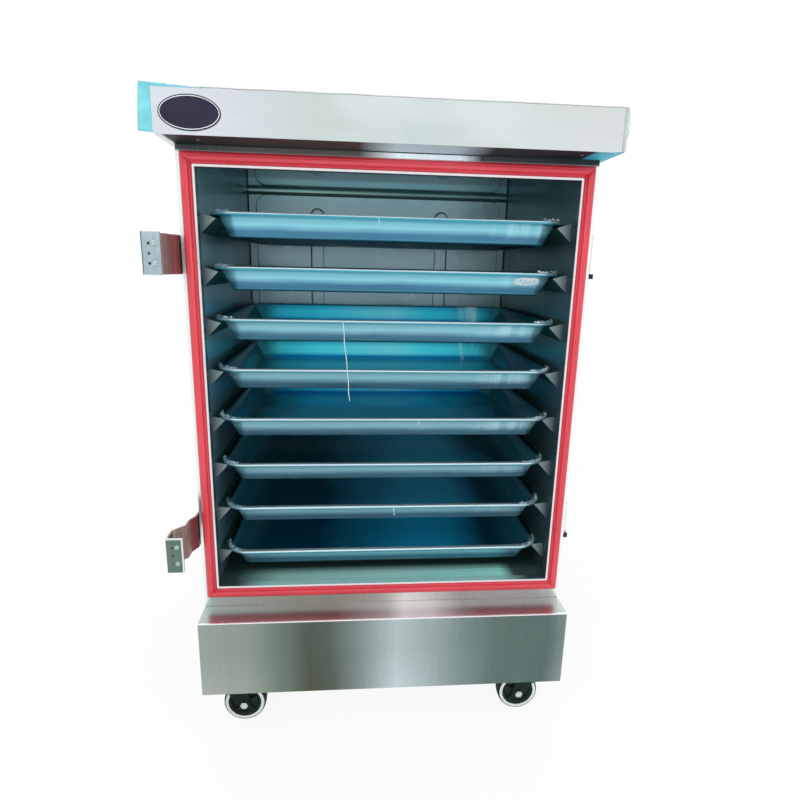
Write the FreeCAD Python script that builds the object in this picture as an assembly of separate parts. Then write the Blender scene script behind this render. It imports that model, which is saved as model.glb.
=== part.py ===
import FreeCAD, Part
import math
import os

from FreeCAD import Vector

# Mobile electric rice steamer: an insulated steel cabinet on a wider plinth with casters.
# X runs across the front, Y runs from the front to the back, Z runs up from the floor.
# The origin is on the floor, under the middle of the cabinet body. All sizes are in millimetres.

os.makedirs("parts", exist_ok=True)

X_AXIS = Vector(1, 0, 0)
Y_AXIS = Vector(0, 1, 0)
Z_AXIS = Vector(0, 0, 1)

# Cabinet walls, from the outer sheet to the liner
outer_sheet = 1.5
liner_sheet = 1.2
side_insulation = 18.8
rear_insulation = 50.3
top_insulation = 4.8

# Plinth under the body
plinth_height = 145.5
plinth_step = 53.5
floor_pan_sheet = 2.0

# Canopy on top of the body
canopy_side_reach = 10.0
canopy_height = 62.0
canopy_front_reach = 62.0
canopy_rear_reach = 10.0
canopy_insulation = 41.9
badge_width = 84.0
badge_height = 46.0
badge_sheet = 1.2
badge_inset = 51.0

# Door opening, its bright trim and the rubber seal
opening_inset = 6.0
opening_above_plinth = 41.5
trim_width = 3.5
trim_forward = 3.0
trim_inward = 12.0
seal_width = 19.0
seal_thickness = 9.0
seal_groove = 1.4

# Steam chamber
chamber_floor_drop = 5.0
chamber_ceiling_rise = 26.0
duct_side_margin = 21.0
duct_bottom_margin = 12.0
duct_top_margin = 11.5
duct_depth = 8.0
duct_corner = 24.0
column_spacing = 296.0
column_radius = 14.5
column_depth = 8.0
column_edge_round = 2.5
column_below_duct_top = 28.5
column_outlet_radius = 1.8

# Trays and the rails that carry them
tray_count = 8
tray_pitch = 85.6
tray_width = 600.0
tray_depth = 400.0
tray_height = 40.0
tray_sheet = 1.0
tray_lip = 10.0
tray_wall_draft = 21.0
tray_lip_corner = 45.0
tray_foot_round = 7.0
tray_hem_drop = 5.3
tray_hem_sheet = 1.2
tray_setback = 23.5
tray_side_gap = 4.5
tray_to_column_gap = 37.5
top_tray_below_opening = 61.5
low_tray_above_opening = 14.3
tray_forward = (0.0, 0.0, 0.0, 0.0, 8.0, 3.0, -4.0, 0.0)
rail_reach = 22.0
rail_top_drop = 2.0
rail_tip_drop = 9.5
rail_bottom_drop = 33.5
rail_front_setback = 40.0
rail_rear_setback = 37.0
rail_nose_slant = 9.0

# Water tank and what hangs on it
tank_side_margin = 70.5
tank_above_floor_pan = 52.0
tank_setback = 80.0
tank_sheet = 1.5
well_margin = 20.0
steam_plate_overlap = 12.0
steam_plate_sheet = 1.5
steam_slot_length = 40.0
steam_slot_width = 6.0
steam_slot_rows = 3
steam_slots_per_row = 16
heater_radius = 5.0
heater_bend_radius = 32.0
heater_inset = 130.0
heater_above_tank_floor = 28.0
heater_front_gap = 40.0
heater_tail = 24.0
heater_nut_radius = 9.0
heater_nut_length = 6.0
pipe_radius = 9.0
pipe_bore_radius = 7.5
pipe_above_tank_floor = 14.0
feed_box_width = 100.0
feed_box_depth = 90.0
feed_box_height = 80.0
feed_box_inset = 35.0
feed_box_gap = 10.0
feed_box_rear_gap = 8.5
thread_radius = 10.4
inlet_above_box_floor = 58.0
inlet_reach = 22.0
inlet_nut_radius = 17.0
inlet_nut_length = 6.0
drain_inset = 60.0
drain_body_gap = 5.0
drain_body_length = 35.0
drain_body_radius = 17.0
drain_outlet_length = 20.0
drain_stem_radius = 4.0
drain_boss_radius = 8.0
drain_boss_height = 24.0
drain_stem_height = 12.0
lever_length = 84.0
lever_width = 14.0
lever_thickness = 3.0
lever_hub_height = 6.0
gland_inset = 57.0
gland_above_plinth_floor = 92.0
gland_thread_radius = 10.0
gland_bore_radius = 7.0
gland_hex_radius = 14.0
gland_hex_length = 8.0
gland_cap_radius = 12.0
gland_cap_length = 18.0
gland_inner_length = 10.0
vent_inset = 80.5
vent_radius = 8.5
vent_bore_radius = 7.2
vent_below_duct_top = 52.5
vent_reach = 22.0
vent_flange_radius = 14.0
vent_flange_sheet = 2.0

# Door hinges on the left and latch keepers on the right
hinge_height = 60.0
lower_hinge_above_opening = 80.0
hinge_spacing = 474.0
hinge_pin_radius = 3.0
hinge_knuckle_radius = 5.2
hinge_knuckle_height = 14.0
hinge_pivot_gap = 6.5
hinge_pivot_setback = 40.0
hinge_leaf_sheet = 3.0
hinge_leaf_length = 40.0
strap_sheet = 3.0
strap_gap = 2.5
strap_tongue_reach = 8.0
strap_first_bend = 3.0
strap_first_jog = 7.5
strap_jog_run = 17.0
strap_middle_run = 20.0
strap_second_jog = 17.0
strap_second_run = 19.0
strap_front_run = 28.0
door_plate_width = 26.5
door_bolt_inset = 10.0
door_bolt_spacing = 29.0
door_bolt_radius = 2.5
door_bolt_head_radius = 4.6
door_bolt_head_height = 3.0
door_bolt_tail = 9.0
door_hole_inset = 16.5
door_hole_spacing = 14.0
door_hole_count = 3
door_hole_radius = 2.1
keeper_height = 72.0
keeper_depth = 30.0
keeper_sheet = 3.0
keeper_setback = 3.0
keeper_lug_reach = 6.0
keeper_lug_height = 8.0
upper_keeper_above_opening = 560.0
lower_keeper_above_opening = 83.0

# Casters
caster_height = 106.0
caster_plate_sheet = 3.0
caster_plate_length = 72.0
caster_plate_width = 60.0
caster_inset = 40.7
front_caster_setback = 13.0
rear_caster_inset = 66.0
caster_trail = 22.0
race_radius = 22.0
race_height = 8.0
crown_radius = 26.0
crown_height = 8.0
king_pin_radius = 5.0
king_pin_head_radius = 8.0
king_pin_head_height = 3.0
wheel_radius = 40.0
wheel_width = 26.0
tyre_side_radius = 36.8
tyre_shoulder_radius = 39.2
tyre_inner_radius = 30.8
tyre_shoulder_width = 3.0
tyre_crown_width = 8.0
hub_width = 24.0
hub_boss_radius = 12.0
hub_web_width = 12.0
hub_rim_inner_radius = 27.0
fork_sheet = 3.0
fork_side_gap = 1.5
fork_eye_radius = 11.0
axle_radius = 4.0
axle_head_radius = 7.4
axle_head_length = 5.0
boss_end_gap = 0.3

# Clearances
running_gap = 0.05
seat_gap = 0.2
fit_gap = 0.1
pass_gap = 0.5

# Widths, depths and heights that follow from the trays and what surrounds them
opening_half = tray_width / 2 + tray_side_gap
chamber_half = opening_half + opening_inset
liner_outer_half = chamber_half + liner_sheet
inner_half = liner_outer_half + side_insulation
half_body = inner_half + outer_sheet
half_canopy = half_body + canopy_side_reach
chamber_depth = tray_setback + tray_depth + tray_to_column_gap + column_depth + duct_depth
body_depth = chamber_depth + liner_sheet + rear_insulation + outer_sheet
tray_stack = top_tray_below_opening + (tray_count - 1) * tray_pitch + tray_height
opening_height = tray_stack + low_tray_above_opening
front = -body_depth / 2
back = body_depth / 2
rear_inner = back - outer_sheet
chamber_front = front + outer_sheet
chamber_back = front + chamber_depth
liner_back_face = chamber_back + liner_sheet

# Levels, from the floor up
plinth_bottom = caster_height
plinth_top = plinth_bottom + plinth_height
plinth_front = front - plinth_step
opening_bottom = plinth_top + opening_above_plinth
opening_top = opening_bottom + opening_height
chamber_floor = opening_bottom - chamber_floor_drop
chamber_ceiling = opening_top + chamber_ceiling_rise
body_top = chamber_ceiling + liner_sheet + top_insulation

# Places inside the chamber and the plinth
duct_half = chamber_half - duct_side_margin
duct_bottom = chamber_floor + duct_bottom_margin
duct_top = chamber_ceiling - duct_top_margin
duct_front = chamber_back - duct_depth
tray_front = front + tray_setback
tray_middle_y = tray_front + tray_depth / 2
tank_half = chamber_half - tank_side_margin
tank_front = front + tank_setback
feed_box_back = rear_inner - feed_box_rear_gap
feed_box_front = feed_box_back - feed_box_depth
tank_back = feed_box_front - feed_box_gap
tank_top = chamber_floor - liner_sheet
tank_bottom = plinth_bottom + floor_pan_sheet + tank_above_floor_pan
heater_x = tank_half - heater_inset
well_half = tank_half - well_margin
well_front = tank_front + well_margin
well_back = tank_back - well_margin
pipe_level = tank_bottom + pipe_above_tank_floor
feed_box_x = tank_half - feed_box_inset
drain_x = drain_inset - tank_half
gland_x = gland_inset - half_body
vent_x = chamber_half - vent_inset
vent_level = duct_top - vent_below_duct_top
hinge_pivot_x = -half_body - hinge_pivot_gap
hinge_pivot_y = front + hinge_pivot_setback
lower_hinge_level = opening_bottom + lower_hinge_above_opening
caster_x = half_body - caster_inset
front_caster_y = front + front_caster_setback
rear_caster_y = back - rear_caster_inset


def rim_level(index):
    """Height of the top face of a tray's lip; tray 1 is the highest."""
    return opening_top - top_tray_below_opening - (index - 1) * tray_pitch


def box(x0, x1, y0, y1, z0, z1):
    return Part.makeBox(x1 - x0, y1 - y0, z1 - z0, Vector(x0, y0, z0))


def rod(radius, start, axis, length):
    return Part.makeCylinder(radius, length, start, axis)


def tube(outer_radius, inner_radius, start, axis, length):
    return rod(outer_radius, start, axis, length).cut(rod(inner_radius, start, axis, length))


def hex_bar(radius, start, axis, length):
    """Hexagonal prism; the radius goes to its corners."""
    side = Vector(1, 0, 0) if abs(axis.x) < 0.5 else Vector(0, 1, 0)
    other = axis.cross(side)
    corners = []
    for step in range(7):
        angle = math.radians(60 * step)
        corners.append(start + side * (radius * math.cos(angle)) + other * (radius * math.sin(angle)))
    return Part.Face(Part.makePolygon(corners)).extrude(axis * length)


def prism(points, direction):
    """Straight prism over a closed outline of vectors."""
    return Part.Face(Part.makePolygon(points + [points[0]])).extrude(direction)


def rounded_outline(half_x, half_y, corner, level):
    """Closed rectangle with rounded corners, centred on the Z axis."""
    plate = box(-half_x, half_x, -half_y, half_y, level, level + 1)
    upright = [edge for edge in plate.Edges if edge.BoundBox.ZLength > 0.5]
    plate = plate.makeFillet(corner, upright)
    bottom = [face for face in plate.Faces if face.BoundBox.ZMax < level + 1e-6]
    return bottom[0].OuterWire


def rounded_block(half_x, half_y, z0, z1, corner, draft=0.0):
    """Block with rounded upright edges; its walls lean in by the draft towards the bottom."""
    low = rounded_outline(half_x - draft, half_y - draft, corner - draft, z0)
    high = rounded_outline(half_x, half_y, corner, z1)
    return Part.makeLoft([low, high], True, True)


def with_round_foot(block, radius):
    level = block.BoundBox.ZMin
    bottom = [edge for edge in block.Edges if edge.BoundBox.ZMax < level + 1e-3]
    return block.makeFillet(radius, bottom)


def one_solid(shape):
    return shape.removeSplitter().Solids[0]


def fused(shapes):
    return one_solid(shapes[0].fuse(shapes[1:]))


def mirrored(shape):
    return shape.mirror(Vector(0, 0, 0), X_AXIS)


def save(name, *shapes):
    shape = shapes[0] if len(shapes) == 1 else Part.makeCompound(list(shapes))
    shape.exportStep(f"parts/{name}.step")


# Plinth
def plinth_front_panel():
    """Front sheet with the ledge bent back from its top, on which the front frame stands."""
    face = box(-half_body, half_body, plinth_front, plinth_front + outer_sheet, plinth_bottom, plinth_top)
    ledge = box(
        -half_body, half_body, plinth_front, chamber_front, plinth_top - outer_sheet, plinth_top
    )
    return fused([face, ledge])


def plinth_side_panel(sign):
    """Side sheet, notched at the top where the ledge of the front sheet passes over it."""
    x0, x1 = sorted((sign * half_body, sign * inner_half))
    panel = box(x0, x1, plinth_front + outer_sheet, back, plinth_bottom, plinth_top)
    notch = box(x0, x1, plinth_front, chamber_front, plinth_top - outer_sheet, plinth_top)
    return one_solid(panel.cut(notch))


def plinth_rear_panel():
    """Rear sheet with the holes for the drain pipe, the water inlet and the cable gland."""
    panel = box(-inner_half, inner_half, rear_inner, back, plinth_bottom, plinth_top)
    holes = [
        (drain_x, pipe_level, pipe_radius + pass_gap),
        (feed_box_x, inlet_level, thread_radius + pass_gap),
        (gland_x, gland_level, gland_thread_radius + fit_gap),
    ]
    for x, z, radius in holes:
        panel = panel.cut(rod(radius, Vector(x, rear_inner, z), Y_AXIS, outer_sheet))
    return one_solid(panel)


def plinth_floor():
    return box(
        -inner_half, inner_half, plinth_front + outer_sheet, rear_inner,
        plinth_bottom, plinth_bottom + floor_pan_sheet,
    )


# Body
def side_panel(sign):
    x0, x1 = sorted((sign * half_body, sign * inner_half))
    return box(x0, x1, chamber_front, back, plinth_top, body_top)


def rear_panel():
    panel = box(-inner_half, inner_half, rear_inner, back, plinth_top, body_top)
    hole = rod(vent_radius + fit_gap, Vector(vent_x, rear_inner, vent_level), Y_AXIS, outer_sheet)
    return one_solid(panel.cut(hole))


def front_frame():
    """Flat front sheet round the door opening; the trim fills the edge of its hole."""
    sheet = box(-half_body, half_body, front, chamber_front, plinth_top, body_top)
    hole = box(
        -opening_half - trim_width, opening_half + trim_width, front, chamber_front,
        opening_bottom - trim_width, opening_top + trim_width,
    )
    return one_solid(sheet.cut(hole))


def opening_trim():
    outer = box(
        -opening_half - trim_width, opening_half + trim_width,
        front - trim_forward, front + trim_inward,
        opening_bottom - trim_width, opening_top + trim_width,
    )
    outer = outer.cut(chamber_shell_beyond_frame())
    inner = box(
        -opening_half, opening_half, front - trim_forward, front + trim_inward,
        opening_bottom, opening_top,
    )
    return one_solid(outer.cut(inner))


def chamber_shell_beyond_frame():
    """Space of the chamber floor sheet behind the front frame, which the trim leaves free."""
    return box(
        -liner_outer_half, liner_outer_half, chamber_front, chamber_back,
        chamber_floor - liner_sheet, chamber_floor,
    )


def door_seal():
    """Rubber seal: a rounded bead with two grooves, mitred at the four corners."""
    edge = seal_thickness * 0.45
    shoulder = seal_thickness * 0.84
    crest = seal_thickness * 0.96
    valley = seal_thickness - seal_groove
    profile = [
        (0.0, 0.0), (0.0, edge), (0.13, shoulder), (0.27, crest), (0.335, valley), (0.40, seal_thickness),
        (0.60, seal_thickness), (0.665, valley), (0.73, crest), (0.87, shoulder), (1.0, edge), (1.0, 0.0),
    ]
    half_x = opening_half + trim_width
    low_z = opening_bottom - trim_width
    high_z = opening_top + trim_width
    corners = [(-half_x, low_z, -1, -1), (half_x, low_z, 1, -1), (half_x, high_z, 1, 1), (-half_x, high_z, -1, 1)]
    sides = []
    for index in range(4):
        start, end = corners[index], corners[(index + 1) % 4]
        along = Vector(end[0] - start[0], 0, end[1] - start[1])
        outward = Vector(start[2] + end[2], 0, start[3] + end[3])
        outward.normalize()
        direction = Vector(along)
        direction.normalize()
        base = Vector(start[0], front, start[1])
        section = [
            base - direction * seal_width + outward * (u * seal_width) - Y_AXIS * v for u, v in profile
        ]
        strip = prism(section, direction * (along.Length + 2 * seal_width))
        trapezium = [
            base, base + along,
            base + along + (outward + direction) * seal_width,
            base + (outward - direction) * seal_width,
        ]
        wedge = prism(trapezium, -Y_AXIS * seal_thickness)
        sides.append(strip.common(wedge))
    return fused(sides)


# Canopy
def canopy_shell():
    """Folded cover: top, fascia, two sides and rear, open below."""
    y0 = front - canopy_front_reach
    y1 = back + canopy_rear_reach
    outer = box(-half_canopy, half_canopy, y0, y1, body_top, body_top + canopy_height)
    inner = box(
        -half_canopy + outer_sheet, half_canopy - outer_sheet, y0 + outer_sheet, y1 - outer_sheet,
        body_top, body_top + canopy_height - outer_sheet,
    )
    return one_solid(outer.cut(inner))


def canopy_underside():
    half = half_canopy - outer_sheet
    return box(
        -half, half,
        front - canopy_front_reach + outer_sheet, back + canopy_rear_reach - outer_sheet,
        body_top, body_top + outer_sheet,
    )


def badge_plate():
    face_y = front - canopy_front_reach
    centre = Vector(badge_inset - half_canopy, face_y, body_top + canopy_height / 2)
    outline = Part.Ellipse(centre, badge_width / 2, badge_height / 2).toShape()
    outline.rotate(centre, X_AXIS, 90)
    return Part.Face(Part.Wire(outline)).extrude(-Y_AXIS * badge_sheet)


# Steam chamber
def chamber_wall(sign):
    x0, x1 = sorted((sign * chamber_half, sign * liner_outer_half))
    return box(
        x0, x1, chamber_front, liner_back_face, chamber_floor - liner_sheet, chamber_ceiling + liner_sheet
    )


def chamber_back_wall():
    wall = box(
        -chamber_half, chamber_half, chamber_back, liner_back_face,
        chamber_floor - liner_sheet, chamber_ceiling + liner_sheet,
    )
    hole = rod(vent_radius + fit_gap, Vector(vent_x, chamber_back, vent_level), Y_AXIS, liner_sheet)
    return one_solid(wall.cut(hole))


def chamber_ceiling_sheet():
    return box(
        -chamber_half, chamber_half, chamber_front, chamber_back,
        chamber_ceiling, chamber_ceiling + liner_sheet,
    )


def chamber_floor_sheet():
    """Floor with the well through which steam rises from the tank."""
    sheet = box(
        -chamber_half, chamber_half, chamber_front, chamber_back,
        chamber_floor - liner_sheet, chamber_floor,
    )
    well = box(
        -well_half, well_half, well_front, well_back, chamber_floor - liner_sheet, chamber_floor,
    )
    return one_solid(sheet.cut(well))


def steam_plate():
    """Slotted plate over the well."""
    plate = box(
        -well_half - steam_plate_overlap, well_half + steam_plate_overlap,
        well_front - steam_plate_overlap, well_back + steam_plate_overlap,
        chamber_floor, chamber_floor + steam_plate_sheet,
    )
    pitch_x = 2 * well_half / steam_slots_per_row
    pitch_y = (well_back - well_front) / steam_slot_rows
    slots = []
    for row in range(steam_slot_rows):
        y = well_front + pitch_y * (row + 0.5)
        for column in range(steam_slots_per_row):
            x = -well_half + pitch_x * (column + 0.5)
            slots.append(
                box(
                    x - steam_slot_width / 2, x + steam_slot_width / 2,
                    y - steam_slot_length / 2, y + steam_slot_length / 2,
                    chamber_floor, chamber_floor + steam_plate_sheet,
                )
            )
    return one_solid(plate.cut(slots))


def back_duct():
    """Shallow pan on the back wall that leads steam up behind the trays."""
    def pan(margin, y0):
        block = box(
            -duct_half + margin, duct_half - margin, y0, chamber_back,
            duct_bottom + margin, duct_top - margin,
        )
        top_edges = [
            edge for edge in block.Edges
            if edge.BoundBox.ZMin > duct_top - margin - 1e-6 and edge.BoundBox.XLength < 1e-6
        ]
        return block.makeFillet(duct_corner - margin, top_edges)

    shell = pan(0.0, duct_front).cut(pan(liner_sheet, duct_front + liner_sheet))
    for x in (-column_spacing / 2, column_spacing / 2):
        feed = box(
            x - column_radius / 2, x + column_radius / 2, duct_front, duct_front + liner_sheet,
            duct_bottom + column_radius, duct_bottom + 3 * column_radius,
        )
        shell = shell.cut(feed)
    return one_solid(shell)


def steam_column(x):
    """Shallow riser with a round top; steam leaves by holes in its two sides."""
    def riser(radius, depth, z0):
        top = duct_top - column_below_duct_top - column_radius
        front_y = duct_front - depth
        stem = box(x - radius, x + radius, front_y, duct_front, z0, top)
        body = one_solid(stem.fuse(rod(radius, Vector(x, front_y, top), Y_AXIS, depth)))
        outline = [edge for edge in body.Edges if edge.BoundBox.YMax < front_y + 1e-6]
        return body.makeFillet(column_edge_round - column_radius + radius, outline)

    inner_radius = column_radius - liner_sheet
    shell = riser(column_radius, column_depth, duct_bottom)
    shell = shell.cut(riser(inner_radius, column_depth - liner_sheet, duct_bottom + liner_sheet))
    outlets = []
    for index in range(1, tray_count + 1):
        level = rim_level(index) + (tray_pitch - tray_height) / 2
        start = Vector(x - column_radius, duct_front - column_depth / 2, level)
        if level < duct_top - column_below_duct_top - column_radius:
            outlets.append(rod(column_outlet_radius, start, X_AXIS, 2 * column_radius))
    return one_solid(shell.cut(outlets))


def tray_rail(sign, index):
    """Pressed rib on the side wall; its upper face slopes down to the tip under the tray's lip."""
    level = rim_level(index)
    wall = sign * chamber_half
    tip = sign * (chamber_half - rail_reach)
    y0 = front + rail_front_setback
    outline = [
        Vector(wall, y0, level - rail_top_drop),
        Vector(tip, y0, level - rail_tip_drop),
        Vector(wall, y0, level - rail_bottom_drop),
    ]
    rail = prism(outline, Y_AXIS * (chamber_back - rail_rear_setback - y0))
    nose = [
        Vector(wall, y0, level),
        Vector(tip, y0 + rail_nose_slant, level),
        Vector(tip, y0, level),
    ]
    return one_solid(rail.cut(prism(nose, -Z_AXIS * (rail_bottom_drop * 1.5))))


def insulation():
    """Slabs between the liner and the outer sheets, and under the canopy's top."""
    left = box(-inner_half, -liner_outer_half, chamber_front, liner_back_face, plinth_top, body_top)
    rear = box(-inner_half, inner_half, liner_back_face, rear_inner, plinth_top, body_top)
    bore = rod(vent_radius + fit_gap, Vector(vent_x, liner_back_face, vent_level), Y_AXIS, body_depth)
    rear = one_solid(rear.cut(bore))
    over = box(
        -liner_outer_half, liner_outer_half, chamber_front, liner_back_face,
        chamber_ceiling + liner_sheet, body_top,
    )
    lid = box(
        -inner_half, inner_half, chamber_front, rear_inner,
        body_top + outer_sheet, body_top + outer_sheet + canopy_insulation,
    )
    return [left, mirrored(left), rear, over, lid]


# Trays
def tray(index):
    """Pressed tray with a rounded foot, a flat lip all round and a hem bent down from the lip."""
    rim = rim_level(index)
    half_x = tray_width / 2
    half_y = tray_depth / 2
    wall_x = half_x - tray_lip
    wall_y = half_y - tray_lip
    corner = tray_lip_corner - tray_lip
    bottom = rim - tray_height
    outer = with_round_foot(
        rounded_block(wall_x, wall_y, bottom, rim, corner, tray_wall_draft), tray_foot_round
    )
    lip = rounded_block(half_x, half_y, rim - tray_sheet, rim, tray_lip_corner)
    hem = rounded_block(half_x, half_y, rim - tray_hem_drop, rim, tray_lip_corner)
    hem_core = rounded_block(
        half_x - tray_hem_sheet, half_y - tray_hem_sheet,
        rim - tray_hem_drop, rim, tray_lip_corner - tray_hem_sheet,
    )
    inner_draft = tray_wall_draft * (tray_height - tray_sheet) / tray_height
    inner = with_round_foot(
        rounded_block(
            wall_x - tray_sheet, wall_y - tray_sheet, bottom + tray_sheet, rim,
            corner - tray_sheet, inner_draft,
        ),
        tray_foot_round - tray_sheet,
    )
    shape = one_solid(outer.fuse([lip, hem.cut(hem_core)]).cut(inner))
    shape.translate(Vector(0, tray_middle_y - tray_forward[index - 1], 0))
    return shape


# Water side
feed_box_bottom = pipe_level - pipe_radius - 2 * tank_sheet
inlet_level = feed_box_bottom + inlet_above_box_floor
gland_level = plinth_bottom + gland_above_plinth_floor
drain_boss_top = pipe_level + drain_boss_height
drain_middle_y = back + drain_body_gap + drain_body_length / 2


def water_tank():
    tank = box(-tank_half, tank_half, tank_front, tank_back, tank_bottom, tank_top)
    hollow = box(
        -tank_half + tank_sheet, tank_half - tank_sheet,
        tank_front + tank_sheet, tank_back - tank_sheet, tank_bottom + tank_sheet, tank_top,
    )
    holes = []
    for x in (feed_box_x, drain_x):
        holes.append(rod(pipe_bore_radius, Vector(x, tank_back - tank_sheet, pipe_level), Y_AXIS, tank_sheet))
    for x in heater_leg_places():
        holes.append(
            rod(heater_radius + fit_gap, Vector(x, tank_back - tank_sheet, heater_level()), Y_AXIS, tank_sheet)
        )
    return one_solid(tank.cut([hollow] + holes))


def heater_level():
    return tank_bottom + heater_above_tank_floor


def heater_leg_places():
    places = []
    for centre in (-heater_x, heater_x):
        places += [centre - heater_bend_radius, centre + heater_bend_radius]
    return places


def heater(centre_x):
    """Hairpin heating rod, held in the tank's rear wall by a nut on each leg."""
    z = heater_level()
    bend_y = tank_front + heater_front_gap + heater_bend_radius
    leg = tank_back + heater_tail - bend_y
    parts = []
    for x in (centre_x - heater_bend_radius, centre_x + heater_bend_radius):
        parts.append(rod(heater_radius, Vector(x, bend_y, z), Y_AXIS, leg))
        parts.append(hex_bar(heater_nut_radius, Vector(x, tank_back, z), Y_AXIS, heater_nut_length))
    ring = Part.makeTorus(heater_bend_radius, heater_radius, Vector(centre_x, bend_y, z), Z_AXIS)
    reach = 2 * heater_bend_radius
    parts.append(ring.common(box(centre_x - reach, centre_x + reach, bend_y - reach, bend_y, z - reach, z + reach)))
    return fused(parts)


def feed_box():
    """Float box behind the tank, with its link pipe and the threaded water inlet."""
    y0 = feed_box_front
    y1 = feed_box_back
    half = feed_box_width / 2
    z0 = feed_box_bottom
    z1 = z0 + feed_box_height
    shell = box(feed_box_x - half, feed_box_x + half, y0, y1, z0, z1)
    hollow = box(
        feed_box_x - half + tank_sheet, feed_box_x + half - tank_sheet,
        y0 + tank_sheet, y1 - tank_sheet, z0 + tank_sheet, z1,
    )
    link = Vector(feed_box_x, tank_back, pipe_level)
    inlet = Vector(feed_box_x, y1 - tank_sheet, inlet_level)
    inlet_length = back + inlet_reach - inlet.y
    body = shell.cut(hollow)
    body = body.fuse(
        [
            rod(pipe_radius, link, Y_AXIS, feed_box_gap + tank_sheet),
            rod(thread_radius, inlet, Y_AXIS, inlet_length),
            hex_bar(inlet_nut_radius, Vector(feed_box_x, back, inlet_level), Y_AXIS, inlet_nut_length),
        ]
    )
    body = body.cut(rod(pipe_bore_radius, link, Y_AXIS, feed_box_gap + tank_sheet))
    return one_solid(body.cut(rod(pipe_bore_radius, inlet, Y_AXIS, inlet_length)))


def drain_valve():
    """Ball valve on the drain pipe, with the upright stem that the lever turns on."""
    start = Vector(drain_x, tank_back, pipe_level)
    body_start = Vector(drain_x, back + drain_body_gap, pipe_level)
    outlet_start = body_start + Y_AXIS * drain_body_length
    reach = outlet_start.y + drain_outlet_length - start.y
    boss = Vector(drain_x, drain_middle_y, pipe_level)
    valve = fused(
        [
            rod(pipe_radius, start, Y_AXIS, body_start.y - start.y),
            hex_bar(drain_body_radius, body_start, Y_AXIS, drain_body_length),
            rod(thread_radius, outlet_start, Y_AXIS, drain_outlet_length),
            rod(drain_boss_radius, boss, Z_AXIS, drain_boss_height),
            rod(drain_stem_radius, boss, Z_AXIS, drain_boss_height + drain_stem_height),
        ]
    )
    return one_solid(valve.cut(rod(pipe_bore_radius, start, Y_AXIS, reach)))


def drain_lever():
    """Lever on the valve's stem, shown across the pipe, which is closed."""
    z0 = drain_boss_top + seat_gap
    hub = Vector(drain_x, drain_middle_y, z0)
    lever = fused(
        [
            rod(lever_width / 2, hub, Z_AXIS, lever_hub_height),
            box(
                drain_x, drain_x + lever_length, drain_middle_y - lever_width / 2,
                drain_middle_y + lever_width / 2, z0, z0 + lever_thickness,
            ),
            rod(lever_width / 2, Vector(drain_x + lever_length, drain_middle_y, z0), Z_AXIS, lever_thickness),
        ]
    )
    bore = rod(drain_stem_radius + running_gap, hub, Z_AXIS, lever_hub_height)
    return one_solid(lever.cut(bore))


def cable_gland():
    """Gland for the supply cable in the plinth's rear sheet."""
    start = Vector(gland_x, rear_inner - gland_inner_length, gland_level)
    outside = Vector(gland_x, back, gland_level)
    cap = outside + Y_AXIS * gland_hex_length
    nut = Vector(gland_x, rear_inner - gland_hex_length / 2, gland_level)
    body = fused(
        [
            rod(gland_thread_radius, start, Y_AXIS, outside.y - start.y),
            hex_bar(gland_hex_radius, outside, Y_AXIS, gland_hex_length),
            rod(gland_cap_radius, cap, Y_AXIS, gland_cap_length),
            hex_bar(gland_hex_radius, nut, Y_AXIS, gland_hex_length / 2),
        ]
    )
    length = cap.y + gland_cap_length - start.y
    return one_solid(body.cut(rod(gland_bore_radius, start, Y_AXIS, length)))


def steam_vent():
    """Pipe that lets spent steam out above the back duct, with a flange on the rear sheet."""
    start = Vector(vent_x, chamber_back, vent_level)
    length = back + vent_reach - chamber_back
    flange = Vector(vent_x, back, vent_level)
    body = fused([rod(vent_radius, start, Y_AXIS, length), rod(vent_flange_radius, flange, Y_AXIS, vent_flange_sheet)])
    return one_solid(body.cut(rod(vent_bore_radius, start, Y_AXIS, length)))


# Door hinges
def strap_outline():
    """Plan of the bent strap's middle line, from the pivot to the free edge of the door plate."""
    x = -half_body - strap_gap - strap_sheet / 2
    y = hinge_pivot_y - strap_tongue_reach
    points = [(x, y)]
    y = front - strap_first_bend
    points.append((x, y))
    x -= strap_first_jog
    y -= strap_jog_run
    points.append((x, y))
    y -= strap_middle_run
    points.append((x, y))
    x -= strap_second_jog
    y -= strap_second_run
    points.append((x, y))
    y -= strap_front_run
    points.append((x, y))
    points.append((x + door_plate_width - strap_sheet / 2, y))
    return points


def thick_path(points, thickness, z0, z1):
    """Sheet of even thickness bent along a plan line, mitred at the bends."""
    half = thickness / 2
    normals = []
    for start, end in zip(points, points[1:]):
        run = Vector(end[0] - start[0], end[1] - start[1], 0)
        run.normalize()
        normals.append(Vector(-run.y, run.x, 0))
    left, right = [], []
    for index, point in enumerate(points):
        before = normals[max(index - 1, 0)]
        after = normals[min(index, len(normals) - 1)]
        offset = (before + after) * (half / (1 + before.dot(after)))
        centre = Vector(point[0], point[1], z0)
        left.append(centre + offset)
        right.append(centre - offset)
    return prism(left + right[::-1], Z_AXIS * (z1 - z0))


def door_plate_place():
    """Left edge x and front face y of the plate that carries the door."""
    points = strap_outline()
    return points[-2][0] - strap_sheet / 2, points[-2][1] - strap_sheet / 2


def door_bolt_levels(bottom):
    middle = bottom + hinge_height / 2
    return [middle - door_bolt_spacing / 2, middle + door_bolt_spacing / 2]


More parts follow.
